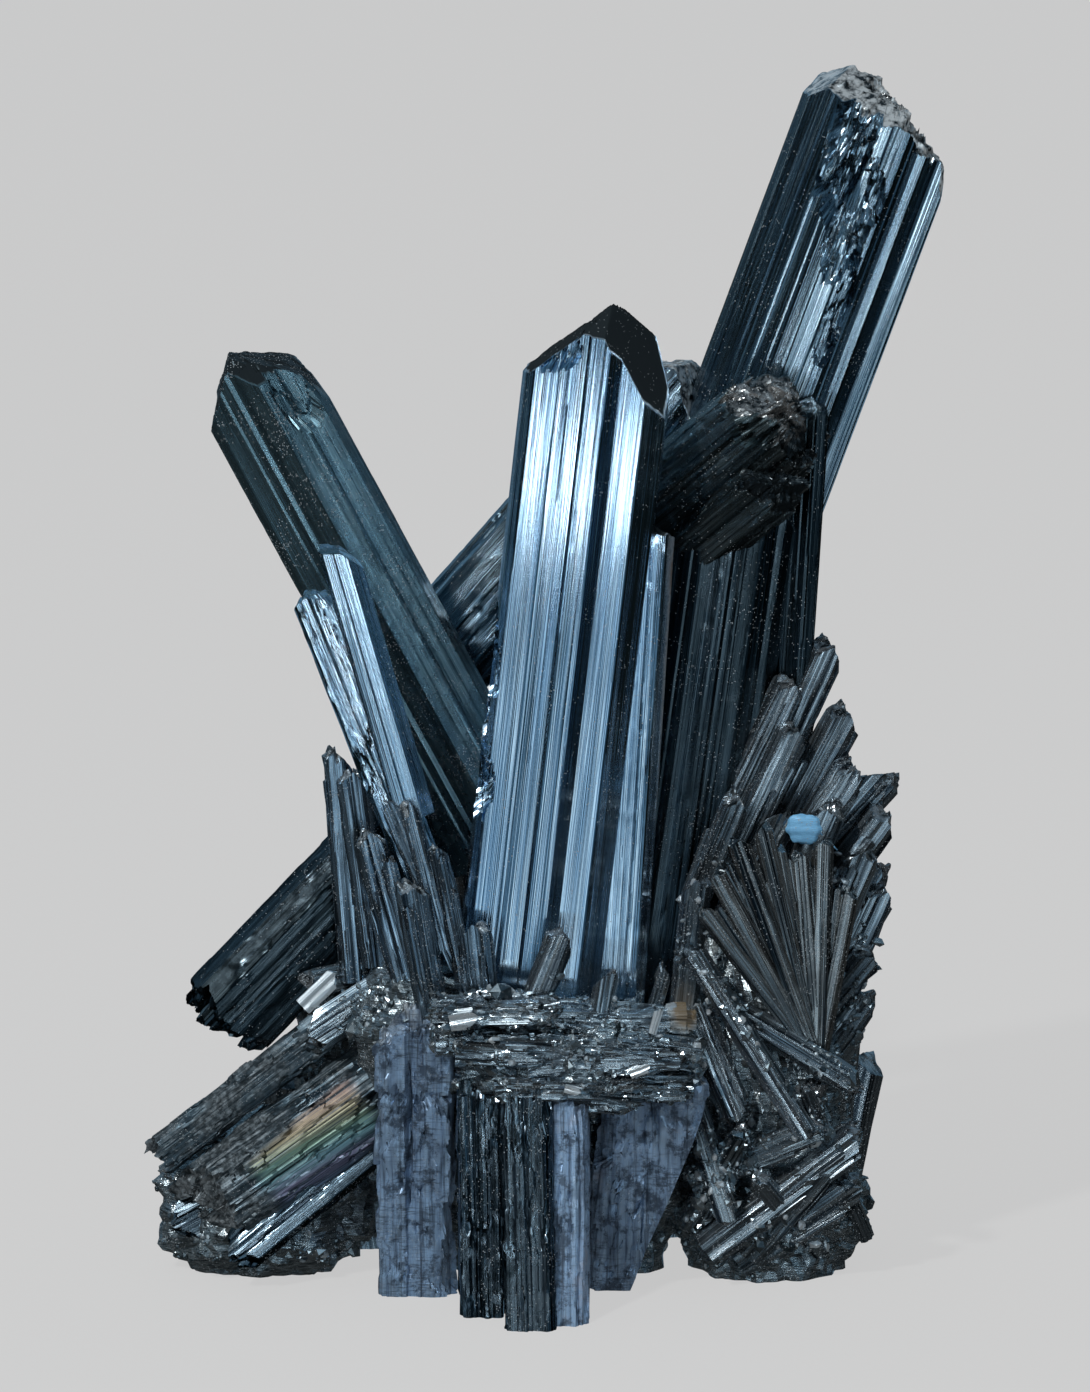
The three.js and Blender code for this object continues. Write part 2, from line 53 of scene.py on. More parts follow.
def new_object(name, data):
    """A new object in the scene."""
    made = bpy.data.objects.new(name, data)
    bpy.context.scene.collection.objects.link(made)
    return made


def make_camera():
    camera = new_object("camera", bpy.data.cameras.new("camera"))
    camera.data.lens = CAMERA_LENS
    camera.data.sensor_width = SENSOR_WIDTH
    camera.data.clip_start = 0.05
    camera.data.clip_end = 50
    camera.location = CAMERA_PLACE
    camera.rotation_euler = (math.radians(90 - CAMERA_ELEVATION), 0, 0)
    bpy.context.scene.camera = camera


make_camera()
bpy.context.scene.view_settings.view_transform = "Standard"


def prism(root, tip, plan, facets):
    """An axis in millimetres, an outline across it, and facets: a direction, and a depth below the tip."""
    return dict(root=root, tip=tip, plan=plan, facets=facets)


CENTRE_PRISM = prism(
    (-6.5, -16, 45.5), (11, -14, 201.5),
    [(-14.2, -6), (-13.4, -11.6), (-12.2, -13), (-7, -13.4), (-6.6, -13), (-1.5, -13.6), (-1.1, -14.1),
     (3.1, -14.5), (6, -11.4), (8.8, -11.3), (11.4, -11.1), (15.9, -6), (16.5, 2), (11.5, 11), (3, 14),
     (-4, 13.4), (-5, 12.4), (-11.5, 9.5)],
    [((0, -0.476, 0.879), -1.3), ((-0.656, -0.05, 0.753), 1.8), ((0.78, -0.36, 0.52), -5.7),
     ((0, 0.6, 0.8), 0.1), ((-0.5, 0.6, 0.62), 4), ((0, 0, 1), -1.2)],
)
SIDE_CRYSTAL = prism(
    (15.5, -14, 56), (21.8, -13, 159),
    [(-5.5, -6), (2.8, -6.3), (3.6, -5), (4.9, -2.4), (5, 2), (3, 7), (-5.5, 7)],
    [((0.1, -0.3, 0.95), 1.5), ((0.5, 0.1, 0.86), 2.4)],
)
LEFT_PRISM = prism(
    (-8, 2, 86), (-63, 6, 188.5),
    [(-13, 3), (-12.2, -2.6), (-11, -4.4), (-4, -7.6), (-3.4, -7.4), (1.7, -10.2), (6.6, -8.4), (7, -7.6),
     (11.4, -5.6), (12.9, 0.5), (10, 8), (2.4, 10.6), (1.8, 10), (-7, 10)],
    [((0.62, -0.15, 0.77), -0.3), ((0.85, -0.1, 0.52), -7.2), ((0.978, -0.1, 0.2), -42.9),
     ((-0.77, -0.1, 0.64), -3.4), ((0.31, -0.75, 0.58), -6), ((0.1, 0.7, 0.7), -3)],
)
RIGHT_TALL_PRISM = prism(
    (11.5, 30, 76), (73.4, 20, 247),
    [(-17.3, 1), (-16.4, -4.6), (-12, -8.4), (-11.6, -8.2), (-8.2, -11.4), (-7.8, -11.2), (-4.2, -14),
     (-2, -14.6), (1.7, -14.6), (2, -14.2), (6, -14.5), (9.1, -10.5), (10.8, -10.7), (13.9, -5.6), (17, -5),
     (17.8, 2), (13, 11), (4, 15.4), (3, 14.6), (-9, 14), (-15, 8)],
    [((-0.75, -0.1, 0.66), -6), ((0.41, -0.1, 0.91), 6.2), ((0.58, 0, 0.82), 6), ((0.9, 0, 0.3), -29),
     ((-0.1, -0.5, 0.86), 3.4), ((0.1, 0.6, 0.8), 3.9)],
)
RIGHT_STUB_PRISM = prism(
    (26, 4, 52), (42, 4, 172),
    [(-15, -2), (-12.5, -8), (-8, -10.4), (-7.4, -9.8), (-1, -11), (-0.4, -10.2), (5, -10), (8.6, -7),
     (9.6, -7), (14, -1), (13, 8), (3, 12), (-8, 11), (-14, 5)],
    [((0.3, -0.3, 0.9), 4), ((0.8, 0.1, 0.59), 2)],
)
STUB_SIDE_CRYSTAL = prism(
    (52, 4, 112), (56, 3, 181),
    [(-5, -3), (-1, -5), (1.8, -4), (2.6, 0), (1.4, 5), (-5, 6)],
    [((0.6, -0.1, 0.79), 2), ((-0.5, -0.3, 0.8), 2)],
)
LEANING_PRISM = prism(
    (9.5, 16, 140), (49.8, -6, 177.5),
    [(-13, 0), (-11.5, -6), (-5.5, -9.5), (-5, -9), (2, -10.5), (6, -7.5), (8.5, -6.8), (12.5, 0), (10, 8),
     (0, 11), (-9, 8.5)],
    [((-0.6, -0.15, 0.78), -6.1), ((0.3, -0.05, 0.95), -2.5), ((0.1, -0.62, 0.78), -8.7)],
)
LEANING_SIDE_CRYSTAL = prism(
    (24, 7, 142), (49, -15, 166.5),
    [(-8, 1), (-5.5, -5.5), (3, -6.5), (7.5, -1), (4, 6), (-5, 6.5)],
    [((0.1, -0.25, 0.96), 0.5), ((-0.5, -0.1, 0.86), 0)],
)
BACK_PRISM = prism(
    (-32.6, 27, 109), (31.3, 26, 182),
    [(-12.5, 0), (-10.5, -6.5), (-3, -9.5), (-2.4, -9), (5, -9), (11, -4), (12, 3), (6, 9), (-6, 9.5)],
    [((-0.66, 0, 0.75), -2.6), ((0.5, -0.3, 0.81), 1.3), ((0, 0, 1), -1)],
)
LEFT_BRIGHT_PRISM = prism(
    (-27, -27, 98), (-42.6, -26, 153),
    [(-3.2, -1), (-2.6, -2.4), (-0.2, -2.9), (0.2, -2.3), (2.6, -2.2), (5.4, 1), (4, 4), (-2.5, 3.4)],
    [((0.3, -0.2, 0.93), 0.2), ((0.8, -0.1, 0.6), -1)],
)
LEFT_RAGGED_BLADE = prism(
    (-22, -23, 78), (-48.5, -20, 145),
    [(-4.6, 0), (-3.8, -2.6), (0.5, -3.4), (4.6, -2.6), (5.4, 0.6), (4, 3.6), (-3, 3.4)],
    [((0.45, -0.2, 0.87), 1), ((-0.6, -0.1, 0.79), 0.4)],
)
LOWER_LEFT_PRISM = prism(
    (-31, 0, 90), (-70, -6, 50),
    [(-12.6, 0), (-11, -5), (-3, -8), (-2.6, -7.4), (3, -8), (7.6, -5.6), (9.8, 0.6), (6, 8), (-8, 8)],
    [((-0.2, -0.1, 0.96), 0.6), ((0.5, -0.35, 0.79), -1.4), ((-0.6, -0.4, 0.7), -6)],
)
IRIDESCENT_PRISM = prism(
    (-26, -13, 44), (-72, -23, 13),
    [(-12, 1), (-10.4, -7.4), (-4, -10), (-3.6, -9.4), (3, -10), (3.4, -9.2), (8.4, -7.6), (11.6, -0.6),
     (8, 9), (-7, 9.6)],
    [((-0.2, -0.2, 0.96), 1), ((0.3, -0.5, 0.81), 0)],
)
IRIDESCENT_SIDE_CRYSTAL = prism(
    (-38, -13, 56), (-81.5, -19, 23),
    [(-4.2, 0), (-3, -4), (2.5, -4.6), (5.5, -1), (4.5, 5), (-3, 4.6)],
    [((0.1, -0.2, 0.97), 1), ((-0.6, -0.1, 0.79), 0)],
)
LEFT_PLATE = prism(
    (-26.6, -27.5, -8), (-26.8, -35, 61),
    [(-8.4, -2), (-7.6, -4), (-2, -4.8), (-1.4, -4.2), (3.4, -4.6), (8, -4), (9.4, -1), (8, 5), (-7, 5)],
    [((0.15, -0.2, 0.96), 0.6), ((-0.5, -0.2, 0.84), 0)],
)
FRONT_LEFT_BLADE = prism(
    (-12.4, -47, -8), (-13.5, -39, 47),
    [(-5.4, 0), (-4.6, -3.2), (1, -4), (4.8, -3), (5.4, 2), (3, 7), (-4.4, 7)],
    [((0.1, -0.3, 0.95), 0.5)],
)
FRONT_MIDDLE_BLADE = prism(
    (-2.5, -58.5, -8), (-4, -42, 48),
    [(-6, 0), (-5.2, -3), (-1, -3.8), (-0.6, -3.2), (3.8, -3.6), (6, -1), (5.6, 7), (-5.4, 7)],
    [((-0.1, -0.3, 0.95), 0.5)],
)
FRONT_RIGHT_BLADE = prism(
    (4.6, -54, -8), (4.6, -40, 46),
    [(-4.4, 0), (-3.4, -3.6), (2.4, -4), (5, -1), (4.6, 7), (-4, 7)],
    [((0.1, -0.35, 0.93), 0.5)],
)
RIGHT_PLATE = prism(
    (18.2, -22, -8), (21.6, -37.5, 52),
    [(-11.4, -1), (-10, -3.6), (-3, -4.4), (3.6, -4), (10.6, -4.2), (12.8, -1), (11, 5), (-9, 6)],
    [((-0.45, -0.25, 0.86), 1.5), ((0.3, -0.2, 0.93), 1), ((0.957, 0, -0.29), 48.9)],
)
FAN_ROOT = (55.5, -21, 47)

# Tip, width and thickness of each needle.
FAN_NEEDLES = [
    ((31.5, -27, 80), 4.6, 4),
    ((34, -27, 88), 5, 4.4),
    ((38.6, -27, 94.5), 5.4, 4.6),
    ((43.6, -26, 97), 4.6, 4.6),
    ((47, -24, 92), 3.8, 4),
    ((51.5, -23, 91), 4.6, 4.6),
    ((56.4, -21, 93), 5, 5),
    ((62, -19, 82), 4.6, 4.6),
]

# Root, tip, width and thickness of the root's crystals, group by group.
RIGHT_CRYSTALS = [
    ((39, 4, 84), (59, 2, 130), 9, 9),
    ((33, -2, 84), (51.4, -3, 124), 8, 8),
    ((44, 0, 80), (63, -2, 117.5), 9.5, 9),
    ((48, 2, 76), (71.4, 0, 103.5), 10, 9),
    ((52, -4, 70), (71.4, -6, 97), 9, 8),
    ((55, -1, 62), (69, -5, 86), 9, 8),
    ((54, -8, 50), (67.6, -12, 68), 8, 7),
    ((30, -12, 76), (40, -16, 102), 7, 6),
    ((32, 0, 88), (47, 2, 119.5), 8, 8),
    ((46, -6, 78), (64.5, -7, 107), 9, 8),
    ((36, -8, 80), (52, -8, 115), 8, 7),
    ((57, -6, 52), (70, -8, 82), 8, 8),
    ((36, -12, 70), (49, -14, 98), 8, 7),
    ((44, -12, 64), (59, -14, 100), 9, 7),
    ((52, -12, 56), (66, -14, 90), 8, 7),
    ((28, -20, 56), (31, -24, 86), 7, 6),
    ((54, -8, 40), (67, -10, 60), 9, 8),
    ((30, -26, 70), (54, -33, 32), 6, 5),
    ((34, -22, 60), (66, -26, 41), 7, 6),
    ((33, -26, 8), (65, -25, 33), 9, 8),
    ((30, -24, 22), (58, -31, 36), 7, 6),
    ((40, -20, 4), (66, -22, 22), 9, 8),
    ((56, -17, 6), (42, -32, 26), 6, 6),
    ((66, -14, 8), (52, -30, 44), 5, 5),
    ((28, -22, 44), (38, -34, 14), 6, 5),
    ((30, -22, 58), (40, -28, 34), 8, 6),
    ((30, -22, 12), (42, -31, 36), 7, 6),
    ((42, -22, 6), (58, -27, 26), 7, 6),
]
LEFT_SPLINTERS = [
    ((-17, -28, 68), (-32.4, -28, 105), 6, 5),
    ((-20, -30, 72), (-28, -31, 104), 5, 4),
    ((-16, -32, 66), (-22, -34, 96), 5, 4),
    ((-26, -26, 58), (-36, -27, 97), 8, 6),
    ((-22, -32, 56), (-27, -35, 88), 8, 5),
    ((-12, -34, 56), (-14.6, -36, 80), 8, 5),
    ((-39, -14, 62), (-42.6, -16, 112), 7, 7),
    ((-34, -18, 66), (-39.6, -19, 109), 8, 6),
]
LEDGE_BARS = [
    ((-22, -38, 61), (5, -42, 62), 9, 12),
    ((-18, -40, 54), (31, -39, 52), 11, 14),
    ((-8, -42, 46), (33, -39, 45), 9, 12),
    ((28, -33, 58), (-2, -37, 60), 9, 11),
    ((-8, -38, 62), (-21.6, -48, 63.4), 6, 6),
]
SMALL_CRYSTALS = [
    ((-3, -38, 60), (4.2, -36, 77.5), 7, 6),
    ((20, -32, 52), (24.6, -35, 70), 4, 3),
    ((10, -36, 50), (13, -37, 70), 6, 4),
    ((-36, -8, 62), (-51, -14, 60), 8, 6),
    ((-34, -16, 60), (-50, -20, 50), 9, 7),
]
LOWER_LEFT_CRYSTALS = [
    ((-30, -18, 34), (-66, -28, 6), 12, 9),
    ((-36, -8, 30), (-79, -16, 9), 14, 10),
]

BACK_CRYSTALS = [
    ((-13, 24, -8), (-29, 29, 103), 26, 20),
    ((7, 28, -8), (-3, 36, 92), 24, 20),
    ((25, 24, -8), (31, 33, 84), 26, 20),
    ((40, 12, -8), (49, 17, 96), 24, 20),
    ((52, 2, -8), (58, 5, 64), 20, 20),
    ((-33, 14, -8), (-45, 21, 76), 24, 19),
    ((-50, 6, -8), (-60, 10, 40), 22, 18),
    ((-4, 39, -8), (-14, 52, 60), 19, 12),
    ((19, 40, -8), (21, 53, 50), 19, 13),
    ((-26, 31, -8), (-42, 40, 52), 17, 13),
    ((38, 28, -8), (50, 38, 54), 18, 13),
    ((56, 12, -8), (66, 20, 40), 14, 12),
]

# Start, way, spread in radians, count, lengths and widths of each spray.
SPRAYS = [
    ((-12, 22, 44), (-0.3, 0.9, 0.5), 0.7, 2, (26, 34), (8, 12)),
    ((20, 24, 38), (0.3, 0.9, 0.4), 0.7, 2, (26, 32), (8, 12)),
    ((46, -8, 32), (0.4, -0.8, 0), 0.9, 4, (18, 22), (5, 7)),
]

# Middle, radii and roughness of each lump of crust at the root.
LUMPS = [
    ((2, -4, 24), (32, 26, 38), 0.1),
    ((44, -4, 40), (20, 20, 44), 0.1),
    ((46, -6, 14), (22, 21, 24), 0.12),
    ((-58, -6, 13), (24, 18, 21), 0.12),
    ((-34, 2, 40), (19, 18, 38), 0.1),
    ((5, -32, 50), (29, 12, 13), 0.1),
    ((-24, -18, 54), (17, 16, 18), 0.12),
]

# Root, tip, width and thickness of the chips; their pale colour is a painted glint.
PAINTED_GLINT_CHIP_ROWS = [
    ((21.5, -42, 57), (23.9, -42, 65.6), 2.6, 1.6),
    ((-48.9, -31, 60), (-40.4, -30, 68), 5, 1.6),
    ((-19, -48, 61), (-11, -49, 62.5), 5.5, 2.5),
    ((4, -47, 47), (9, -48, 46), 3, 2),
    ((17, -47, 50), (22, -47, 52), 3.4, 2),
]

BLUE_CHIPS = [
    ((54, -16.5, 95), (60.6, -16, 88.4), 1.8, 1.4),
]

# Middle, half sizes and roughness of the rounded blue flake beside it.
BLUE_FLAKES = [((52.6, -17, 94), (4.0, 1.2, 3.5), 0.18)]


def random_numbers(seed):
    """A repeatable run of numbers from 0 to 1."""
    state = seed
    while True:
        state = (state * 1664525 + 1013904223) % 2**32
        yield state / 2**32


def blade(root, tip, width, thickness, draws):
    """A small crystal with six uneven faces and two faces at the tip."""
    def uneven(value):
        return value * (0.86 + 0.28 * next(draws))

    half_width = width / 2
    half_thickness = thickness / 2
    plan = [
        (-half_width, uneven(0.2 * half_thickness)),
        (uneven(-0.6 * half_width), -half_thickness),
        (uneven(0.5 * half_width), uneven(-0.9 * half_thickness)),
        (half_width, uneven(-0.2 * half_thickness)),
        (uneven(0.6 * half_width), half_thickness),
        (uneven(-0.5 * half_width), uneven(0.9 * half_thickness)),
    ]
    side = -1 if next(draws) < 0.5 else 1
    facets = [
        ((side * uneven(0.5), uneven(-0.3), 0.8), 0),
        ((-side * uneven(0.7), uneven(0.2), 0.7), 0.1 * width),
    ]
    return prism(root, tip, plan, facets)


def blades(table, draws):
    """A small crystal for each row of a table."""
    return [blade(*row, draws) for row in table]


def spray_blades(start, towards, spread, count, lengths, widths, draws):
    """Small crystals that part from one point."""
    def between(low, high):
        return low + (high - low) * next(draws)

    made = []
    main = Vector(towards).normalized()
    side = Vector((0, 0, 1)).cross(main).normalized()
    over = main.cross(side)
    for _ in range(count):
        turn = FULL_TURN * next(draws)
        lean = spread * math.sqrt(next(draws))
        way = main * math.cos(lean) + side * math.sin(lean) * math.cos(turn)
        way += over * math.sin(lean) * math.sin(turn)
        tip = Vector(start) + way * between(*lengths)
        across = between(*widths)
        made.append(blade(start, tuple(tip), across, 0.8 * across, draws))
    return made


class Value:
    """A number or vector that a node gives; arithmetic on it adds the nodes that work it out."""

    def __init__(self, socket):
        self.socket = socket

    def __add__(self, other):
        return calc("ADD", self, other)

    def __radd__(self, other):
        return calc("ADD", other, self)

    def __sub__(self, other):
        return calc("SUBTRACT", self, other)

    def __rsub__(self, other):
        return calc("SUBTRACT", other, self)

    def __mul__(self, other):
        return calc("MULTIPLY", self, other)

    def __truediv__(self, other):
        return calc("DIVIDE", self, other)


def out(node, key=0):
    return Value(node.outputs[key])


def connect(value, place):
    place.id_data.links.new(value.socket, place)


def tree_of(*values):
    """The node tree that the first of the values that come from a node is in."""
    return next(value.socket.id_data for value in values if isinstance(value, Value))


def add_node(tree, kind, values=None, **settings):
    """Adds a node, and sets or links its inputs by name or number."""
    made = tree.nodes.new(kind)
    for key, value in settings.items():
        setattr(made, key, value)
    for key, value in (values or {}).items():
        if isinstance(value, Value):
            connect(value, made.inputs[key])
        else:
            made.inputs[key].default_value = value
    return made


def calc(operation, *values):
    """One step of arithmetic on numbers."""
    return out(add_node(tree_of(*values), "ShaderNodeMath", dict(enumerate(values)), operation=operation))


def calc_vector(operation, *values):
    """One step of arithmetic on vectors; a length or a dot product comes out as a number."""
    made = add_node(tree_of(*values), "ShaderNodeVectorMath", dict(enumerate(values)), operation=operation)
    return out(made, "Value" if operation in ("LENGTH", "DOT_PRODUCT") else "Vector")


def scaled(vector, factor):
    values = {0: vector, "Scale": factor}
    return out(add_node(tree_of(vector), "ShaderNodeVectorMath", values, operation="SCALE"))


def join_xyz(x, y, z):
    return out(add_node(tree_of(x, y, z), "ShaderNodeCombineXYZ", {"X": x, "Y": y, "Z": z}))


def split_xyz(vector):
    made = add_node(tree_of(vector), "ShaderNodeSeparateXYZ", {0: vector})
    return [Value(socket) for socket in made.outputs]


def noise(vector, scale, detail, roughness=0.5):
    return out(add_node(tree_of(vector), "ShaderNodeTexNoise", {
        "Vector": vector, "Scale": scale, "Detail": detail, "Roughness": roughness,
    }))


def steps(value, count):
    """A smooth value cut into level steps."""
    return calc("FLOOR", value * count) / count


def ramp(value, low, high, bottom=0, top=1):
    """Carries a value from low..high to bottom..top, and holds it there."""
    return out(add_node(tree_of(value), "ShaderNodeMapRange", {
        "Value": value, "From Min": low, "From Max": high, "To Min": bottom, "To Max": top,
    }, clamp=True))


def new_group(name, result, inputs):
    """A node tree with its inputs (name, kind, default): their identifiers and their values, by name."""
    tree = bpy.data.node_groups.new(name, "GeometryNodeTree")
    identifiers = {}
    for label, kind, default in inputs:
        socket = tree.interface.new_socket(label, in_out="INPUT", socket_type="NodeSocket" + kind)
        if default is not None:
            socket.default_value = default
        identifiers[label] = socket.identifier
    tree.interface.new_socket(result, in_out="OUTPUT", socket_type="NodeSocketGeometry")
    sockets = tree.nodes.new("NodeGroupInput").outputs
    return tree, identifiers, {socket.name: Value(socket) for socket in sockets if socket.name}


# What a crystal can have at most, and the facet that cuts nothing.
FACETS = 6
DENTS = 3
NO_FACET = (0, 0, 10000)


def prism_inputs():
    """Name, kind and default of what a striated prism is given."""
    inputs = [("Outline", "Geometry", None)]
    inputs += [("Columns", "Int", 100), ("Rows", "Int", 20), ("Tip rings", "Int", 10)]
    for name, default in (
        ("Number", 0), ("Step depth", 0.3), ("Step width", 3), ("Step length", 70), ("Turn", 0.3),
        ("Drift", 1.5), ("Line depth", 0.08), ("Wear", 0.6),
    ):
        inputs.append((name, "Float", float(default)))
    for index in range(FACETS):
        inputs.append((f"Facet {index}", "Vector", NO_FACET))
        inputs.append((f"Facet {index} break", "Float", 0.0))
    for index in range(DENTS):
        inputs.append((f"Dent {index} middle", "Vector", (0, 0, 0)))
        inputs.append((f"Dent {index} size", "Vector", (1, 1, 1)))
        inputs.append((f"Dent {index} depth", "Float", 0.0))
    inputs.append(("Material", "Material", None))
    return inputs


def striated_prism_tree():
    """A prism on an outline: growth steps along its sides, facets or a break at its tip."""
    tree, identifiers, given = new_group("striated prism", "Crystal", prism_inputs())

    # A grid whose columns run round the outline, and whose rows climb the sides and close the tip.
    rings = given["Tip rings"]
    rows = given["Rows"]
    grid = add_node(tree, "GeometryNodeMeshGrid", {
        "Size X": 1, "Size Y": 1, "Vertices X": given["Columns"] + 1, "Vertices Y": rows + rings + 2,
    })
    place = split_xyz(out(tree.nodes.new("GeometryNodeInputPosition")))
    across = place[0] + 0.5
    last_row = rows + rings + 1
    row = calc("ROUND", (place[1] + 0.5) * last_row)
    climb = ramp((row - 1) / rows, 0, 1)
    past_rim = calc("MAXIMUM", row - 1 - rows, 0)
    spread = calc("MINIMUM", row, 1 - past_rim / rings)

    outline = out(add_node(tree, "GeometryNodeMeshToCurve", {0: given["Outline"]}))
    distance = across * out(add_node(tree, "GeometryNodeCurveLength", {0: outline}))
    sample = add_node(tree, "GeometryNodeSampleCurve", {"Curves": outline, "Length": distance}, mode="LENGTH")
    on_outline = out(sample, "Position")

    # Uneven ground for breaks: flat flakes, as cleavage leaves them, with some grit.
    def flakes(point, size):
        where = calc_vector("MULTIPLY", point, (1 / size, 1 / size, 0.45 / size))
        cell = add_node(tree, "ShaderNodeTexVoronoi", {"Vector": where, "Scale": 1})
        lot = calc_vector("SUBTRACT", out(cell, "Color"), (0.5, 0.5, 0.5))
        aside = calc_vector("SUBTRACT", where, out(cell, "Position"))
        level = split_xyz(lot)[0] + 0.5
        return level + calc_vector("DOT_PRODUCT", lot, aside)

    def height_at(point):
        x, y, _ = split_xyz(point)
        where = join_xyz(x, y, given["Number"] * 17)
        grit = ramp(noise(where, 0.6, 3, 0.6), 0.3, 0.7)
        uneven = flakes(where, 6) * 0.6 + flakes(where, 2.2) * 0.25
        uneven = uneven + grit * 0.15
        lowest = None
        for index in range(FACETS):
            slope = split_xyz(given[f"Facet {index}"])
            level = slope[2] - slope[0] * x - slope[1] * y
            level = level - uneven * given[f"Facet {index} break"]
            lowest = level if lowest is None else calc("MINIMUM", lowest, level)
        return calc("MAXIMUM", lowest, 1)

    rim_height = height_at(on_outline)
    along = climb * rim_height

    # Growth strips: long flat bands of uneven width, each turned a little about the crystal's axis.
    drift = noise(join_xyz(distance / 9, along / given["Step length"], given["Number"]), 1, 2)
    drift = (drift - 0.5) * given["Drift"]

    def strips(width, slope, salt):
        where = (distance + drift) / width + given["Number"] * salt
        cell = add_node(tree, "ShaderNodeTexVoronoi", {"W": where, "Scale": 1}, voronoi_dimensions="1D")
        lot = split_xyz(out(cell, "Color"))
        turn = (lot[0] - 0.5) * slope
        aside = (where - out(cell, "W")) * width
        lowest = slope * width * 0.35
        return calc("MAXIMUM", turn * aside + lowest, 0), lot[1]

    width = given["Step width"]
    slope = given["Turn"]
    wide, level = strips(width, slope, 7.3)
    narrow, _ = strips(width * 0.3, slope * 1.6, 3.1)
    broad = steps(level, 4) * given["Step depth"]
    lines = noise(join_xyz((distance + drift) / 0.5, along / 30, given["Number"]), 1, 1)
    lines = lines * given["Line depth"]
    inward = wide + narrow + (broad + lines)

    # Wear: small chips scattered over the sides.
    x, y, _ = split_xyz(on_outline)
    solid_point = join_xyz(x, y, along)
    shifted = calc_vector("ADD", solid_point, join_xyz(0, 0, given["Number"] * 41))
    chips = ramp(noise(shifted, 0.22, 4, 0.62), 0.6, 0.78) + flakes(shifted, 3.4) * 0.4
    inward = inward + chips * given["Wear"]

    # Dents: pits and broken ledges at given places, made of flat flakes.
    broken = flakes(shifted, 4.6) * 0.8 + flakes(shifted, 2) * 0.2
    for index in range(DENTS):
        away = calc_vector("SUBTRACT", solid_point, given[f"Dent {index} middle"])
        away = calc_vector("DIVIDE", away, given[f"Dent {index} size"])
        inside = ramp(calc_vector("LENGTH", away), 1.3, 0.5)
        inside = inside + (broken - 0.5) * ramp(inside, 0, 0.3) * 0.7
        deep = ramp(broken, 0, 1, 0.25, 1.15) * given[f"Dent {index} depth"]
        inward = inward + ramp(inside, 0.3, 0.36) * deep

    reach = calc("MAXIMUM", calc_vector("LENGTH", on_outline), 0.1)
    keep = calc("MAXIMUM", 1 - inward / reach, 0.25)
    flat = scaled(on_outline, keep * spread)
    x, y, _ = split_xyz(flat)
    standing = join_xyz(x, y, climb * height_at(flat))

    body = out(grid)
    for name, kind, value in (
        ("grain", "FLOAT_VECTOR", join_xyz(distance, along, given["Number"])),
        ("ending", "FLOAT", calc("MINIMUM", past_rim, 1)),
    ):
        body = out(add_node(tree, "GeometryNodeStoreNamedAttribute", {
            "Geometry": body, "Name": name, "Value": value,
        }, data_type=kind, domain="POINT"))
    for kind, values in (
        ("SetPosition", {"Position": standing}), ("MergeByDistance", {"Distance": 0.002}),
        ("RealizeInstances", {}), ("SetMaterial", {"Material": given["Material"]}),
    ):
        body = out(add_node(tree, "GeometryNode" + kind, {"Geometry": body, **values}))
    connect(body, tree.nodes.new("NodeGroupOutput").inputs[0])
    return tree, identifiers


PRISM_TREE, PRISM_INPUTS = striated_prism_tree()
# A crystal is about this many times as far round as from its axis to its side.
ROUND_PER_RADIUS = 6.3
TIP_RING_SHARE = 0.6


def directions(crystal):
    """The crystal's own directions: right, back and up along its axis."""
    up = (Vector(crystal["tip"]) - Vector(crystal["root"])).normalized()
    back = Vector((0, 1, 0))
    back = (back - up * back.dot(up)).normalized()
    return back.cross(up), back, up


def facet_slope(crystal, facing, drop):
    """A facet as a height over the crystal's foot: its two slopes, and its level on the axis."""
    length = math.dist(crystal["root"], crystal["tip"])
    right, back, up = facing
    return right / up, back / up, length - drop


def evaluated(source):
    """What the modifiers of an object make, as a plain mesh."""
    graph = bpy.context.evaluated_depsgraph_get()
    mesh = bpy.data.meshes.new_from_object(source.evaluated_get(graph), depsgraph=graph)
    old = source.data
    bpy.data.objects.remove(source)
    bpy.data.meshes.remove(old)
    return mesh


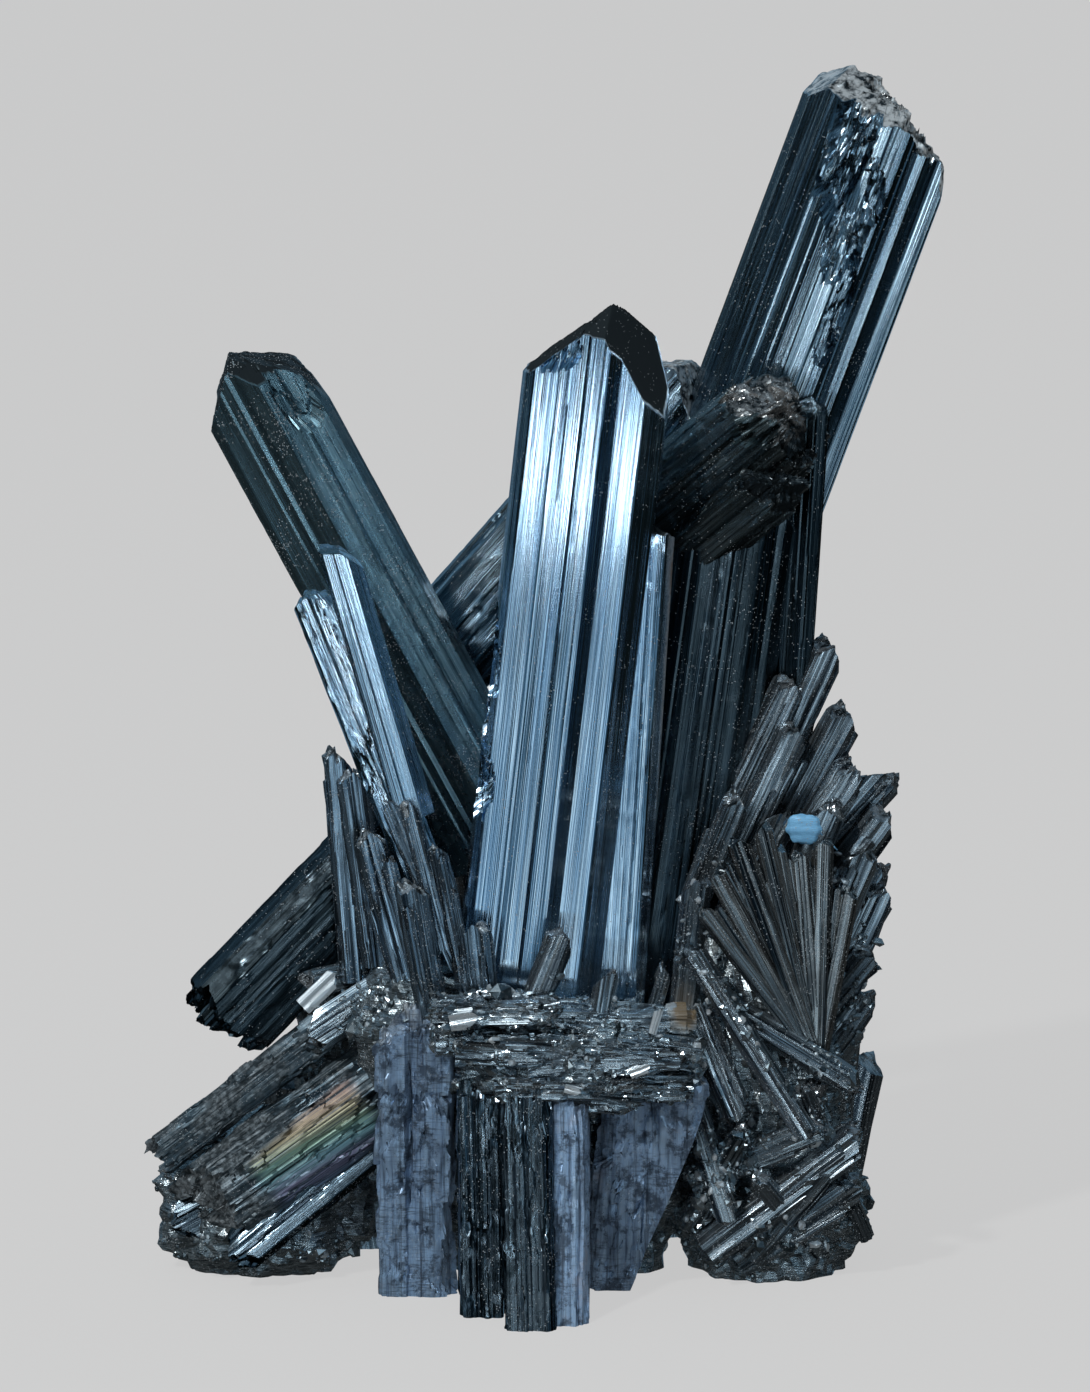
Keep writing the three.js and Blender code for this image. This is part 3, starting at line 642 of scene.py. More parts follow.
def crystal_mesh(crystal, number, material, spacing, row, look):
    """One crystal in place, in metres, cut off at the floor."""
    plan = crystal["plan"]
    around = sum(math.dist(a, b) for a, b in zip(plan, plan[1:] + plan[:1]))
    length = math.dist(crystal["root"], crystal["tip"])
    outline = bpy.data.meshes.new("outline")
    count = len(plan)
    outline.from_pydata([(x, y, 0) for x, y in plan], [(i, (i + 1) % count) for i in range(count)], [])
    source = new_object("crystal", outline)
    modifier = source.modifiers.new("growth", "NODES")
    modifier.node_group = PRISM_TREE
    values = {
        "Columns": max(12, round(around / spacing)),
        "Rows": max(4, round(length / row)),
        "Tip rings": max(4, round(around / ROUND_PER_RADIUS / spacing * TIP_RING_SHARE)),
        "Number": float(number),
        "Step depth": look["steps"],
        "Step width": look["width"],
        "Turn": look.get("turn", 0.3),
        "Drift": look.get("drift", 1.5),
        "Step length": look["length"],
        "Line depth": look.get("lines", 0.1),
        "Wear": look["wear"],
        "Material": material,
    }
    breaks = look["breaks"] + [0] * FACETS
    for index, (facing, drop) in enumerate(crystal["facets"]):
        if facing[2] > 0:
            values[f"Facet {index}"] = facet_slope(crystal, facing, drop)
            values[f"Facet {index} break"] = float(breaks[index])
    for index, (middle, size, depth) in enumerate(look.get("dents", [])):
        values[f"Dent {index} middle"] = middle
        values[f"Dent {index} size"] = size
        values[f"Dent {index} depth"] = depth
    for name, value in values.items():
        modifier[PRISM_INPUTS[name]] = value
    mesh = evaluated(source)

    right, back, up = directions(crystal)
    turn = Matrix((right, back, up)).transposed().to_4x4()
    mesh.transform(Matrix.Scale(MM, 4) @ Matrix.Translation(crystal["root"]) @ turn)
    cuts = [FLOOR_CUT]
    for facing, drop in crystal["facets"]:
        if facing[2] < 0:
            normal = (right * facing[0] + back * facing[1] + up * facing[2]).normalized()
            cuts.append(((Vector(crystal["tip"]) - up * drop) * MM, normal))
    if len(cuts) > 1 or min(vertex.co.z for vertex in mesh.vertices) < 0:
        cut_off(mesh, cuts)
    return mesh


def cut_off(mesh, cuts):
    """Takes away what lies beyond each plane, and closes the cut."""
    work = bmesh.new()
    work.from_mesh(mesh)
    for point, normal in cuts:
        everything = work.verts[:] + work.edges[:] + work.faces[:]
        made = bmesh.ops.bisect_plane(
            work, geom=everything, plane_co=point, plane_no=normal, clear_outer=True)
        rim = [item for item in made["geom_cut"] if isinstance(item, bmesh.types.BMEdge) and item.is_valid]
        if rim:
            bmesh.ops.edgeloop_fill(work, edges=rim)
    work.to_mesh(mesh)
    work.free()


def joined(name, meshes, material, sharp=24):
    """Several meshes in one, smooth but for its edges."""
    work = bmesh.new()
    for mesh in meshes:
        work.from_mesh(mesh)
        bpy.data.meshes.remove(mesh)
    whole = bpy.data.meshes.new(name)
    work.to_mesh(whole)
    work.free()
    # Emptying the list also gives every face the first material again.
    whole.materials.clear()
    whole.materials.append(material)
    whole.polygons.foreach_set("use_smooth", [True] * len(whole.polygons))
    whole.set_sharp_from_angle(angle=math.radians(sharp))
    return new_object(name, whole)



def shade(red, green, blue):
    return (red, green, blue, 1)


BLACK = shade(0.016, 0.022, 0.026)
GREY_BROWN = shade(0.34, 0.345, 0.345)
GREY = shade(0.34, 0.38, 0.41)

# Specks of dust lie about 0.3 mm apart, and the bump of the fine lines is 0.22 mm deep.
DUST_SCALE = 3300
BUMP_DISTANCE = 0.00022


def blend_colour(amount, first, second):
    """The first colour where the amount is nothing, and the second where it is one."""
    mix = add_node(tree_of(amount), "ShaderNodeMix", {0: amount, 6: first, 7: second}, data_type="RGBA")
    return out(mix, 2)


def attribute(tree, name, key):
    return out(add_node(tree, "ShaderNodeAttribute", attribute_name=name), key)


def new_material(name):
    material = bpy.data.materials.new(name)
    material.use_nodes = True
    tree = material.node_tree
    tree.nodes.clear()
    output = tree.nodes.new("ShaderNodeOutputMaterial")
    surface = tree.nodes.new("ShaderNodeBsdfPrincipled")
    connect(out(surface), output.inputs[0])
    return material, tree, surface


def crystal_material(name, light, deep, rough, dust, dull=1, metal=1, tip_colour=None, tip_metal=1,
                     tip_relief=0, line=1.6, extra=None):
    """Lead-grey metal with growth lines, dull patches and specks of dust; extra adds marks of its own."""
    material, tree, surface = new_material(name)
    grain = attribute(tree, "grain", "Vector")
    tip = attribute(tree, "ending", "Fac")
    across, along, number = split_xyz(grain)
    point = out(tree.nodes.new("ShaderNodeTexCoord"), "Object")
    number = number * 5.3

    def lines(width, length, detail=2):
        return noise(join_xyz(across / width, along / length, number), 1, detail)

    strips = ramp(lines(line, 60), 0.34, 0.66)
    fine = lines(0.28, 110)
    finest = lines(0.12, 45, 0)
    patches = noise(point, 60, 4, 0.6)
    mottle = noise(point, 420, 3, 0.65)

    deep = shade(*deep)
    colour = blend_colour(strips, deep, shade(*light))
    colour = blend_colour(ramp(fine, 0.35, 0.7, 0, 0.35), colour, deep)
    colour = blend_colour(ramp(patches, 0.5, 0.75, 0, 0.4 * dull), colour, deep)
    # Where the tip colour is BLACK, the tips are painted shade: black crumbs, and their shine is turned off
    # further down.
    if tip_colour is not None:
        crumbs = blend_colour(ramp(mottle, 0.42, 0.6), tip_colour, BLACK)
        colour = blend_colour(tip, colour, crumbs)

    roughness = rough + ramp(patches, 0.35, 0.75, -0.04 * dull, 0.14 * dull)
    roughness = roughness + ramp(mottle, 0.3, 0.75, -0.03 * dull, 0.1 * dull)
    roughness = roughness + ramp(strips, 0, 1, 0.05, 0)

    # Dust: pale grains, thicker where the patches are dull.
    cell = add_node(tree, "ShaderNodeTexVoronoi", {"Vector": point, "Scale": DUST_SCALE}, feature="F1")
    lot = split_xyz(out(cell, "Color"))[0]
    share = ramp(noise(point, 110, 3, 0.6), 0.42, 0.72, 0, dust)
    speck = calc("LESS_THAN", out(cell, "Distance"), 0.36) * calc("LESS_THAN", lot, share)
    colour = blend_colour(speck, colour, shade(0.28, 0.32, 0.35))
    metal = (1 - speck) * (metal - tip * (metal - tip_metal))
    roughness = roughness + speck * 0.4

    if extra is not None:
        colour, metal, roughness = extra(point, grain, colour, metal, roughness)

    relief = (fine * 0.7 + finest * 0.3) * (1 - tip)
    relief = relief + mottle * (0.12 * dull)
    relief = relief + mottle * tip * tip_relief
    bump = add_node(tree, "ShaderNodeBump", {"Strength": 0.55, "Distance": BUMP_DISTANCE, "Height": relief})

    connect(colour, surface.inputs["Base Color"])
    connect(metal, surface.inputs["Metallic"])
    connect(roughness, surface.inputs["Roughness"])
    connect(out(bump), surface.inputs["Normal"])
    # Painted shade: black tips also lose their specular shine, so they stay dark.
    if tip_colour == BLACK:
        connect(ramp(tip, 0, 1, 0.5, 0), surface.inputs["Specular IOR Level"])
    return material


def brown_stain(point, grain, colour, metal, roughness):
    """Iron stain along the right edge of the middle prism."""
    x, _, z = split_xyz(point)
    edge = x - (0.0185 + z * 0.04)
    reach = ramp(edge, 0, 0.0012) * ramp(z, 0.075, 0.09) * ramp(z, 0.158, 0.15)
    amount = reach * ramp(noise(point, 160, 4, 0.7), 0.35, 0.6, 0.25, 0.95)
    colour = blend_colour(amount, colour, shade(0.075, 0.048, 0.03))
    return colour, metal * (1 - amount * 0.9), roughness + amount * 0.4


def painted_shade_cap(point, grain, colour, metal, roughness):
    """Painted shade: the left part of the tall prism's tip, a smooth facet, is painted black without metal;
    the rest is broken and bright.
    """
    ending = attribute(tree_of(point), "ending", "Fac")
    x, _, z = split_xyz(point)
    border = (z - 0.227) * 0.46 + 0.0424
    amount = ending * ramp(x - border, 0.001, -0.001)
    return blend_colour(amount, colour, BLACK), metal * (1 - amount), roughness


def painted_hollow_shade(point, grain, colour, metal, roughness):
    """Painted shade: the lower half of the broken end is painted black, for the shade of its hollow."""
    ending = attribute(tree_of(point), "ending", "Fac")
    height = split_xyz(point)[2] + noise(point, 120, 3, 0.6) * 0.012
    amount = ending * ramp(height, 0.183, 0.178)
    return blend_colour(amount, colour, BLACK), metal, roughness


def gold_and_green(point, grain, colour, metal, roughness):
    """The thin tarnish on one face, striped gold, green and blue."""
    centre = calc_vector("SUBTRACT", point, (-0.0461, -0.0276, 0.0296))
    along = calc_vector("DOT_PRODUCT", centre, (0.766, 0, 0.643))
    aside = calc_vector("DOT_PRODUCT", centre, (-0.643, 0, 0.766))
    across = split_xyz(grain)[0]
    streak = noise(join_xyz(across / 0.5, along * 25, 0), 1, 2)
    length = calc("ABSOLUTE", along) + streak * 0.006
    inside = ramp(length, 0.0175, 0.0145) * ramp(calc("ABSOLUTE", aside), 0.0078, 0.006)
    film = aside * -60 + along * -14 + streak * 0.5 + 0.25
    hues = add_node(tree_of(film), "ShaderNodeValToRGB", {0: film})
    bands = (
        (0, (0.2, 0.13, 0.11)), (0.22, (0.22, 0.19, 0.12)), (0.42, (0.12, 0.21, 0.16)),
        (0.6, (0.08, 0.18, 0.22)), (0.78, (0.11, 0.11, 0.18)), (1, (0.05, 0.1, 0.17)),
    )
    marks = hues.color_ramp.elements
    for index, (where, hue) in enumerate(bands):
        mark = marks[index] if index < 2 else marks.new(where)
        mark.position = where
        mark.color = shade(*hue)
    lit = inside * ramp(streak, 0.4, 0.5, 0.1, 0.95)
    colour = blend_colour(lit, colour, out(hues))
    grit = ramp(noise(point, 70, 5, 0.7), 0.4, 0.55) * (1 - inside)
    crumb = blend_colour(ramp(noise(point, 900, 3, 0.6), 0.45, 0.65), BLACK, shade(0.15, 0.18, 0.2))
    colour = blend_colour(grit * 0.75, colour, crumb)
    return colour, metal - lit * 0.55 - grit * 0.35, roughness + inside * 0.14 + grit * 0.2


def blue_bloom(point, grain, colour, metal, roughness):
    """Blue-grey bloom on a plate: clouds, dark pits, upright scratches and wavy level cracks."""
    x, y, z = split_xyz(point)
    waves = noise(join_xyz(x * 60, y, z * 700), 1, 3, 0.6)
    cracks = ramp(calc("ABSOLUTE", waves - 0.5), 0, 0.03, 1, 0)
    cracks = cracks * ramp(noise(point, 90, 3, 0.6), 0.45, 0.6)
    upright = noise(join_xyz(x * 900, y, z * 45), 1, 3, 0.7)
    cloud = ramp(noise(point, 110, 5, 0.7), 0.42, 0.6)
    dark = ramp(noise(point, 230, 5, 0.75), 0.5, 0.6)
    rust = ramp(noise(point, 75, 5, 0.7), 0.58, 0.68)
    colour = blend_colour(cloud * 0.6, colour, shade(0.24, 0.38, 0.58))
    colour = blend_colour(rust * 0.45, colour, shade(0.25, 0.23, 0.24))
    colour = blend_colour(ramp(upright, 0.5, 0.68, 0, 0.85), colour, shade(0.03, 0.045, 0.07))
    colour = blend_colour(dark * 0.8, colour, shade(0.03, 0.045, 0.07))
    colour = blend_colour(cracks * 0.7, colour, shade(0.03, 0.04, 0.055))
    return colour, metal - cloud * 0.1, roughness


def ochre_spot(point, grain, colour, metal, roughness):
    """A bit of ochre clay caught beside the foot of the middle prism."""
    away = calc_vector("SUBTRACT", point, (0.0282, -0.034, 0.0602))
    away = calc_vector("MULTIPLY", away, (1, 0.25, 0.8))
    edge = calc_vector("LENGTH", away) + noise(point, 300, 3, 0.6) * 0.003
    amount = ramp(edge, 0.0056, 0.0036)
    colour = blend_colour(amount * 0.85, colour, shade(0.13, 0.09, 0.04))
    return colour, metal * (1 - amount), roughness


# The middle prism: its tips are painted shade, black and without shine.
BRIGHT = crystal_material(
    "bright_faces", (0.58, 0.7, 0.8), (0.32, 0.46, 0.6), 0.06, 0.08, dull=0.1, tip_colour=BLACK,
    tip_metal=0, extra=brown_stain,
)
SILVERY = crystal_material("silvery_faces", (0.62, 0.74, 0.83), (0.4, 0.54, 0.66), 0.1, 0.1, dull=0.2)
STEEL = crystal_material(
    "steel_faces", (0.52, 0.63, 0.7), (0.14, 0.2, 0.25), 0.1, 0.1, dull=0.3,
    tip_colour=shade(0.56, 0.6, 0.62), tip_metal=0.4, tip_relief=2.5, extra=painted_shade_cap,
)
# The left prism: real dust, and a much darker metal than the middle prism's as painted shade; its tips are
# painted black for shade too.
DUST_AND_SHADE_METAL = crystal_material(
    "dust_and_painted_shade_faces", (0.21, 0.34, 0.4), (0.07, 0.12, 0.145), 0.18, 0.35, metal=0.93, tip_colour=BLACK,
    tip_metal=0.3,
)
# Painted shade: a dark copy of the metal for the stub behind the middle prism and the low prism at the left.
PAINTED_SHADE_METAL = crystal_material("dark_faces", (0.09, 0.12, 0.14), (0.02, 0.03, 0.036), 0.14, 0.12)
SHADED = crystal_material("shaded_faces", (0.26, 0.34, 0.4), (0.015, 0.022, 0.03), 0.14, 0.2, line=0.9)
BROKEN = crystal_material(
    "broken_faces", (0.28, 0.35, 0.37), (0.03, 0.042, 0.047), 0.15, 0.2, metal=0.95,
    tip_colour=GREY_BROWN, tip_metal=0.75, tip_relief=2.5, line=0.9, extra=painted_hollow_shade,
)
NEEDLES = crystal_material(
    "needle_faces", (0.6, 0.62, 0.62), (0.015, 0.022, 0.028), 0.16, 0.3, metal=0.93, line=0.7,
)
SPLINTERS = crystal_material(
    "splinter_faces", (0.44, 0.58, 0.7), (0.03, 0.045, 0.06), 0.13, 0.35, metal=0.93, tip_colour=GREY,
    tip_metal=0.7, tip_relief=2.5, line=0.8,
)
BLUISH = crystal_material(
    "bluish_faces", (0.3, 0.43, 0.58), (0.13, 0.2, 0.31), 0.25, 0.5, metal=0.55, tip_colour=GREY,
    tip_metal=0.5, tip_relief=2.5, line=0.9, extra=blue_bloom,
)
TARNISHED = crystal_material(
    "tarnished_faces", (0.09, 0.13, 0.16), (0.015, 0.024, 0.03), 0.24, 0.4, metal=0.93,
    tip_colour=shade(0.2, 0.23, 0.25), tip_metal=0.7, tip_relief=2.5, line=0.9, extra=gold_and_green,
)
CRUST = crystal_material(
    "crust", (0.58, 0.67, 0.73), (0.035, 0.05, 0.065), 0.13, 0.4, metal=0.92, tip_colour=GREY,
    tip_metal=0.8, tip_relief=2.5, line=0.8, extra=ochre_spot,
)
GRAINS = crystal_material(
    "crust grains", (0.6, 0.68, 0.72), (0.06, 0.085, 0.1), 0.15, 0.3, metal=0.9, extra=ochre_spot,
)
# Painted glints: a pale, half-metal colour that stays bright whatever the light, for chips and grains.
PAINTED_GLINT_PALE = crystal_material("painted_glint_chips", (0.62, 0.69, 0.74), (0.3, 0.36, 0.4), 0.2, 0.2, metal=0.55)
BLUE_CHIP = crystal_material("blue_chip", (0.2, 0.5, 0.78), (0.14, 0.36, 0.6), 0.35, 0.2, metal=0.1)


# How crystals are worn: growth strips, breaks on their facets, and dents (middle, size, depth).
CENTRE_LOOK = dict(
    steps=0.15, width=2.8, turn=0.18, drift=0.3, length=250.0, wear=0.0, lines=0.12, breaks=[0, 1.6],
    dents=[
        ((-14.0, -9.0, 80.0), (3.0, 5.0, 14.0), 2.2), ((-14.0, -10.0, 58.0), (3.5, 5.0, 8.0), 2.6),
        ((-10.0, -12.5, 147.0), (6.5, 5.0, 3.2), 2.6),
    ],
)
SIDE_LOOK = dict(steps=0.2, width=2.2, length=90.0, wear=0.1, breaks=[2, 1.5])
LEFT_LOOK = dict(
    steps=0.25, width=2.6, turn=0.25, drift=0.8, length=150.0, wear=0.15,
    breaks=[1.2, 1.5, 0.5, 1.6, 1.4, 0.8], dents=[((8.6, -8.0, 104.0), (5.0, 5.0, 8.0), 1.6)],
)
RIGHT_TALL_LOOK = dict(
    steps=0.25, width=1.7, turn=0.26, drift=0.4, length=250.0, wear=0.03, breaks=[0.3, 6, 6, 4, 2, 2],
    dents=[
        ((-5.8, -15.0, 165.0), (4.5, 8.0, 17.0), 3.4), ((1.0, -15.0, 147.0), (4.2, 8.0, 13.0), 3.0),
        ((4.5, -15.0, 130.0), (2.2, 6.0, 10.0), 2.0),
    ],
)
STUB_LOOK = dict(steps=0.4, width=1.8, drift=0.8, length=160.0, wear=0.2, breaks=[2, 2])
LEANING_LOOK = dict(
    steps=0.5, width=1.8, length=60.0, wear=0.8, breaks=[6, 6, 5],
    dents=[((-4.0, -9.0, 57.0), (6.0, 6.0, 6.0), 3.5)],
)
BACK_LOOK = dict(steps=0.4, width=2.2, length=60.0, wear=0.6, breaks=[1.5, 1.5, 1])
SMALL_LOOK = dict(steps=0.2, width=2.2, turn=0.2, drift=0.4, length=150.0, wear=0.05, breaks=[1, 0.5])
RAGGED_LOOK = dict(steps=0.5, width=2.4, turn=0.15, length=25.0, wear=0.9, breaks=[4, 3])
LOWER_LOOK = dict(steps=0.4, width=1.8, length=90.0, wear=0.5, breaks=[5, 5, 4])
TARNISHED_LOOK = dict(steps=0.5, width=1.3, length=60.0, wear=2.0, breaks=[7, 6])
PLATE_LOOK = dict(steps=0.5, width=4.0, turn=0.1, length=14.0, wear=2.8, drift=5.0, lines=0.25, breaks=[5, 4])
LEFT_PLATE_LOOK = dict(
    PLATE_LOOK,
    dents=[
        ((-1.0, -4.0, 50.7), (9.0, 4.0, 1.0), 1.7), ((-1.1, -4.6, 44.0), (0.9, 3.0, 14.0), 1.7),
        ((8.5, -3.0, 20.0), (1.8, 4.0, 12.0), 1.5),
    ],
)
RIGHT_PLATE_LOOK = dict(
    PLATE_LOOK,
    dents=[
        ((-11.0, -3.0, 45.0), (3.4, 4.0, 8.0), 2.4), ((8.0, -3.5, 50.0), (6.0, 3.0, 2.2), 1.2),
        ((2.5, -4.0, 27.0), (2.4, 3.0, 10.0), 1.2),
    ],
)
BLADE_LOOK = dict(steps=0.8, width=1.6, length=80.0, wear=1.4, breaks=[5, 4])
NEEDLE_LOOK = dict(steps=0.3, width=0.7, length=60.0, wear=0.2, breaks=[0.8, 0.6])
LEDGE_LOOK = dict(steps=0.6, width=4.0, length=10.0, wear=3.4, breaks=[6, 5], drift=6.0)
ROOT_LOOK = dict(steps=0.5, width=0.9, length=30.0, wear=0.9, breaks=[3, 2.5])
SPLINTER_LOOK = dict(steps=0.5, width=1.3, length=30.0, wear=0.9, breaks=[4, 4])
REAR_LOOK = dict(steps=0.6, width=2.2, length=60.0, wear=0.8, breaks=[1.5, 1.5])
CHIP_LOOK = dict(steps=0.3, width=1.5, length=12.0, wear=1.0, breaks=[4, 4], lines=0.06)

# The large pieces: name, slot, material, and each crystal with its look.
LARGE_PIECES = [
    ("centre_prism", "bright_faces", BRIGHT, [(CENTRE_PRISM, CENTRE_LOOK), (SIDE_CRYSTAL, SIDE_LOOK)]),
    ("left_prism", "steel_faces", DUST_AND_SHADE_METAL, [(LEFT_PRISM, LEFT_LOOK)]),
    ("right_tall_prism", "steel_faces", STEEL, [(RIGHT_TALL_PRISM, RIGHT_TALL_LOOK)]),
    ("leaning_prism", "dark_faces", BROKEN,
     [(LEANING_PRISM, LEANING_LOOK), (LEANING_SIDE_CRYSTAL, LEANING_LOOK)]),
    ("right_stub_prism", "dark_faces", PAINTED_SHADE_METAL, [(RIGHT_STUB_PRISM, STUB_LOOK), (STUB_SIDE_CRYSTAL, SIDE_LOOK)]),
    ("back_prism", "dark_faces", STEEL, [(BACK_PRISM, BACK_LOOK)]),
    ("left_small_prisms", "bright_faces", SILVERY,
     [(LEFT_BRIGHT_PRISM, SMALL_LOOK), (LEFT_RAGGED_BLADE, RAGGED_LOOK)]),
    ("lower_left_prism", "dark_faces", PAINTED_SHADE_METAL, [(LOWER_LEFT_PRISM, LOWER_LOOK)]),
    ("iridescent_prism", "tarnished_faces", TARNISHED,
     [(IRIDESCENT_PRISM, TARNISHED_LOOK), (IRIDESCENT_SIDE_CRYSTAL, TARNISHED_LOOK)]),
    ("left_plate", "steel_faces", BLUISH, [(LEFT_PLATE, LEFT_PLATE_LOOK)]),
    ("front_blades", "steel_faces", SHADED,
     [(FRONT_LEFT_BLADE, BLADE_LOOK), (FRONT_MIDDLE_BLADE, BLADE_LOOK)]),
    ("front_blades", "steel_faces", BLUISH, [(FRONT_RIGHT_BLADE, BLADE_LOOK)]),
    ("right_plate", "steel_faces", BLUISH, [(RIGHT_PLATE, RIGHT_PLATE_LOOK)]),
]

# Columns across a large crystal are this far apart, and its rows are a millimetre apart.
LARGE_SPACING = 0.36
LARGE_ROW = 1.0
numbers = itertools.count(1)


def meshes_of(crystals, material, spacing, row, look):
    """The meshes of crystals with one look; each has a number of its own, so no two are alike."""
    return [crystal_mesh(each, next(numbers), material, spacing, row, look) for each in crystals]


def finished(piece, node):
    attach(piece, "root")
    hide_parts(node)


made_names = set()
for name, slot, material, crystals in LARGE_PIECES:
    meshes = []
    for large_crystal, look in crystals:
        meshes += meshes_of([large_crystal], material, LARGE_SPACING, LARGE_ROW, look)
    whole = name + ("_grown" if name not in made_names else "_dusty")
    made_names.add(name)
    finished(joined(whole, meshes, material), name)

# The fan: thin needles grow between the eight large ones, four in each gap.
draws = random_numbers(2026)
needles = blades([(FAN_ROOT, *needle) for needle in FAN_NEEDLES], draws)
fine_draws = random_numbers(31)
for before, after in zip(FAN_NEEDLES, FAN_NEEDLES[1:]):
    for _ in range(4):
        end = Vector(before[0]).lerp(Vector(after[0]), next(fine_draws))
        end = Vector(FAN_ROOT).lerp(end, 0.7 + 0.27 * next(fine_draws))
        needles.append(blade(FAN_ROOT, tuple(end), 1.6 + 1.6 * next(fine_draws), 2.5, fine_draws))
meshes = meshes_of(needles, NEEDLES, 0.25, 2.5, NEEDLE_LOOK)
finished(joined("needle_fan_grown", meshes, NEEDLES), "needle_fan")


def crust_lump(middle, radii, rough, fineness=5):
    """A rough lump of the crust that holds the root together."""
    work = bmesh.new()
    bmesh.ops.create_icosphere(work, subdivisions=fineness, radius=1)
    for vertex in work.verts:
        x, y, z = vertex.co
        bump = math.sin(7 * x + middle[0]) * math.sin(6 * y + middle[2]) + math.sin(9 * z + middle[0])
        place = Vector(middle) + Vector((radii[0] * x, radii[1] * y, radii[2] * z))
        grit = rough_noise.fractal(place * 0.1, 0.6, 2.1, 6)
        cells = rough_noise.voronoi(place * 0.22)[0]
        vertex.co *= 0.9 + rough * 0.3 * bump + 0.09 * grit - 0.12 * (cells[0] - 0.4)
        vertex.co = Vector(middle) + Vector((a * b for a, b in zip(radii, vertex.co)))
    grain = work.verts.layers.float_vector.new("grain")
    for vertex in work.verts:
        vertex[grain] = vertex.co
    mesh = bpy.data.meshes.new("lump")
    work.to_mesh(mesh)
    work.free()
    mesh.transform(Matrix.Scale(MM, 4))
    cut_off(mesh, [FLOOR_CUT])
    return mesh


def beside(crystal, count, draws):
    """Thinner crystals that grew along one, a little to its side and most of them shorter."""
    made = []
    root, tip = Vector(crystal["root"]), Vector(crystal["tip"])
    right, back, up = directions(crystal)
    size = max(x for x, _ in crystal["plan"])
    for _ in range(count):
        aside = right * (size * 1.5 * (next(draws) - 0.5)) + back * (size * 1.1 * (next(draws) - 0.75))
        start = root + aside * 0.6
        end = root + (tip - root) * (0.6 + 0.36 * next(draws)) + aside
        across = size * (0.6 + 0.6 * next(draws))
        made.append(blade(tuple(start), tuple(end), across, 0.7 * across, draws))
    return made


def blocks_on(crystal, count, draws):
    """Short stout blocks along a ledge bar, each turned a little."""
    made = []
    root, tip = Vector(crystal["root"]), Vector(crystal["tip"])
    right, back, up = directions(crystal)
    size = max(x for x, _ in crystal["plan"])
    length = (tip - root).length
    for index in range(count):
        middle = root + (tip - root) * ((index + 0.2 + 0.6 * next(draws)) / count)
        middle += right * (size * (next(draws) - 0.5)) - back * (1.2 * next(draws))
        lean = up + right * (0.5 * (next(draws) - 0.5)) + back * (0.3 * (next(draws) - 0.5))
        half = lean.normalized() * (length / count * (0.4 + 0.3 * next(draws)))
        made.append(blade(tuple(middle - half), tuple(middle + half), size * (1.3 + 0.8 * next(draws)),
                          size * (1.5 + 0.4 * next(draws)), draws))
    return made


right_crystals = blades(RIGHT_CRYSTALS, draws)
left_crystals = blades(LEFT_SPLINTERS, draws)
ledge_crystals = blades(LEDGE_BARS, draws)
small_crystals = blades(SMALL_CRYSTALS, draws)
lower_left_crystals = blades(LOWER_LEFT_CRYSTALS, draws)
rear_crystals = blades(BACK_CRYSTALS, draws)
side_crystals = [each for spray in SPRAYS for each in spray_blades(*spray, draws)]
thin_draws = random_numbers(77)
ledge_blocks = [block for each in ledge_crystals for block in blocks_on(each, 4, thin_draws)]
thin_crystals = [thin for each in right_crystals for thin in beside(each, 3, thin_draws)]
thin_splinters = [thin for each in left_crystals for thin in beside(each, 3, thin_draws)]

# The crystals of the root: their distance between columns, distance between rows, and look.
for name, slot, material, sharp, groups in (
    ("left_splinters", "dark_faces", SPLINTERS, 24, [
        (left_crystals + thin_splinters, 0.4, 3, SPLINTER_LOOK),
    ]),
    ("lower_left_crystals", "dark_faces", SHADED, 24, [
        (lower_left_crystals, 0.4, 1, LOWER_LOOK),
    ]),
    ("root_cluster_grown", "crust", CRUST, 30, [
        (right_crystals + small_crystals, 0.55, 4, ROOT_LOOK),
        (ledge_crystals + ledge_blocks, 0.45, 1, LEDGE_LOOK),
        (rear_crystals, 1, 6, REAR_LOOK),
        (side_crystals, 0.7, 4, ROOT_LOOK),
        (thin_crystals, 0.6, 5, ROOT_LOOK),
    ]),
):
    meshes = []
    for crystals, spacing, row, look in groups:
        meshes += meshes_of(crystals, material, spacing, row, look)
    finished(joined(name, meshes, material, sharp), "root_cluster")

lumps = joined("crust_lumps", [crust_lump(*lump) for lump in LUMPS], GRAINS, 10)
finished(lumps, "root_cluster")


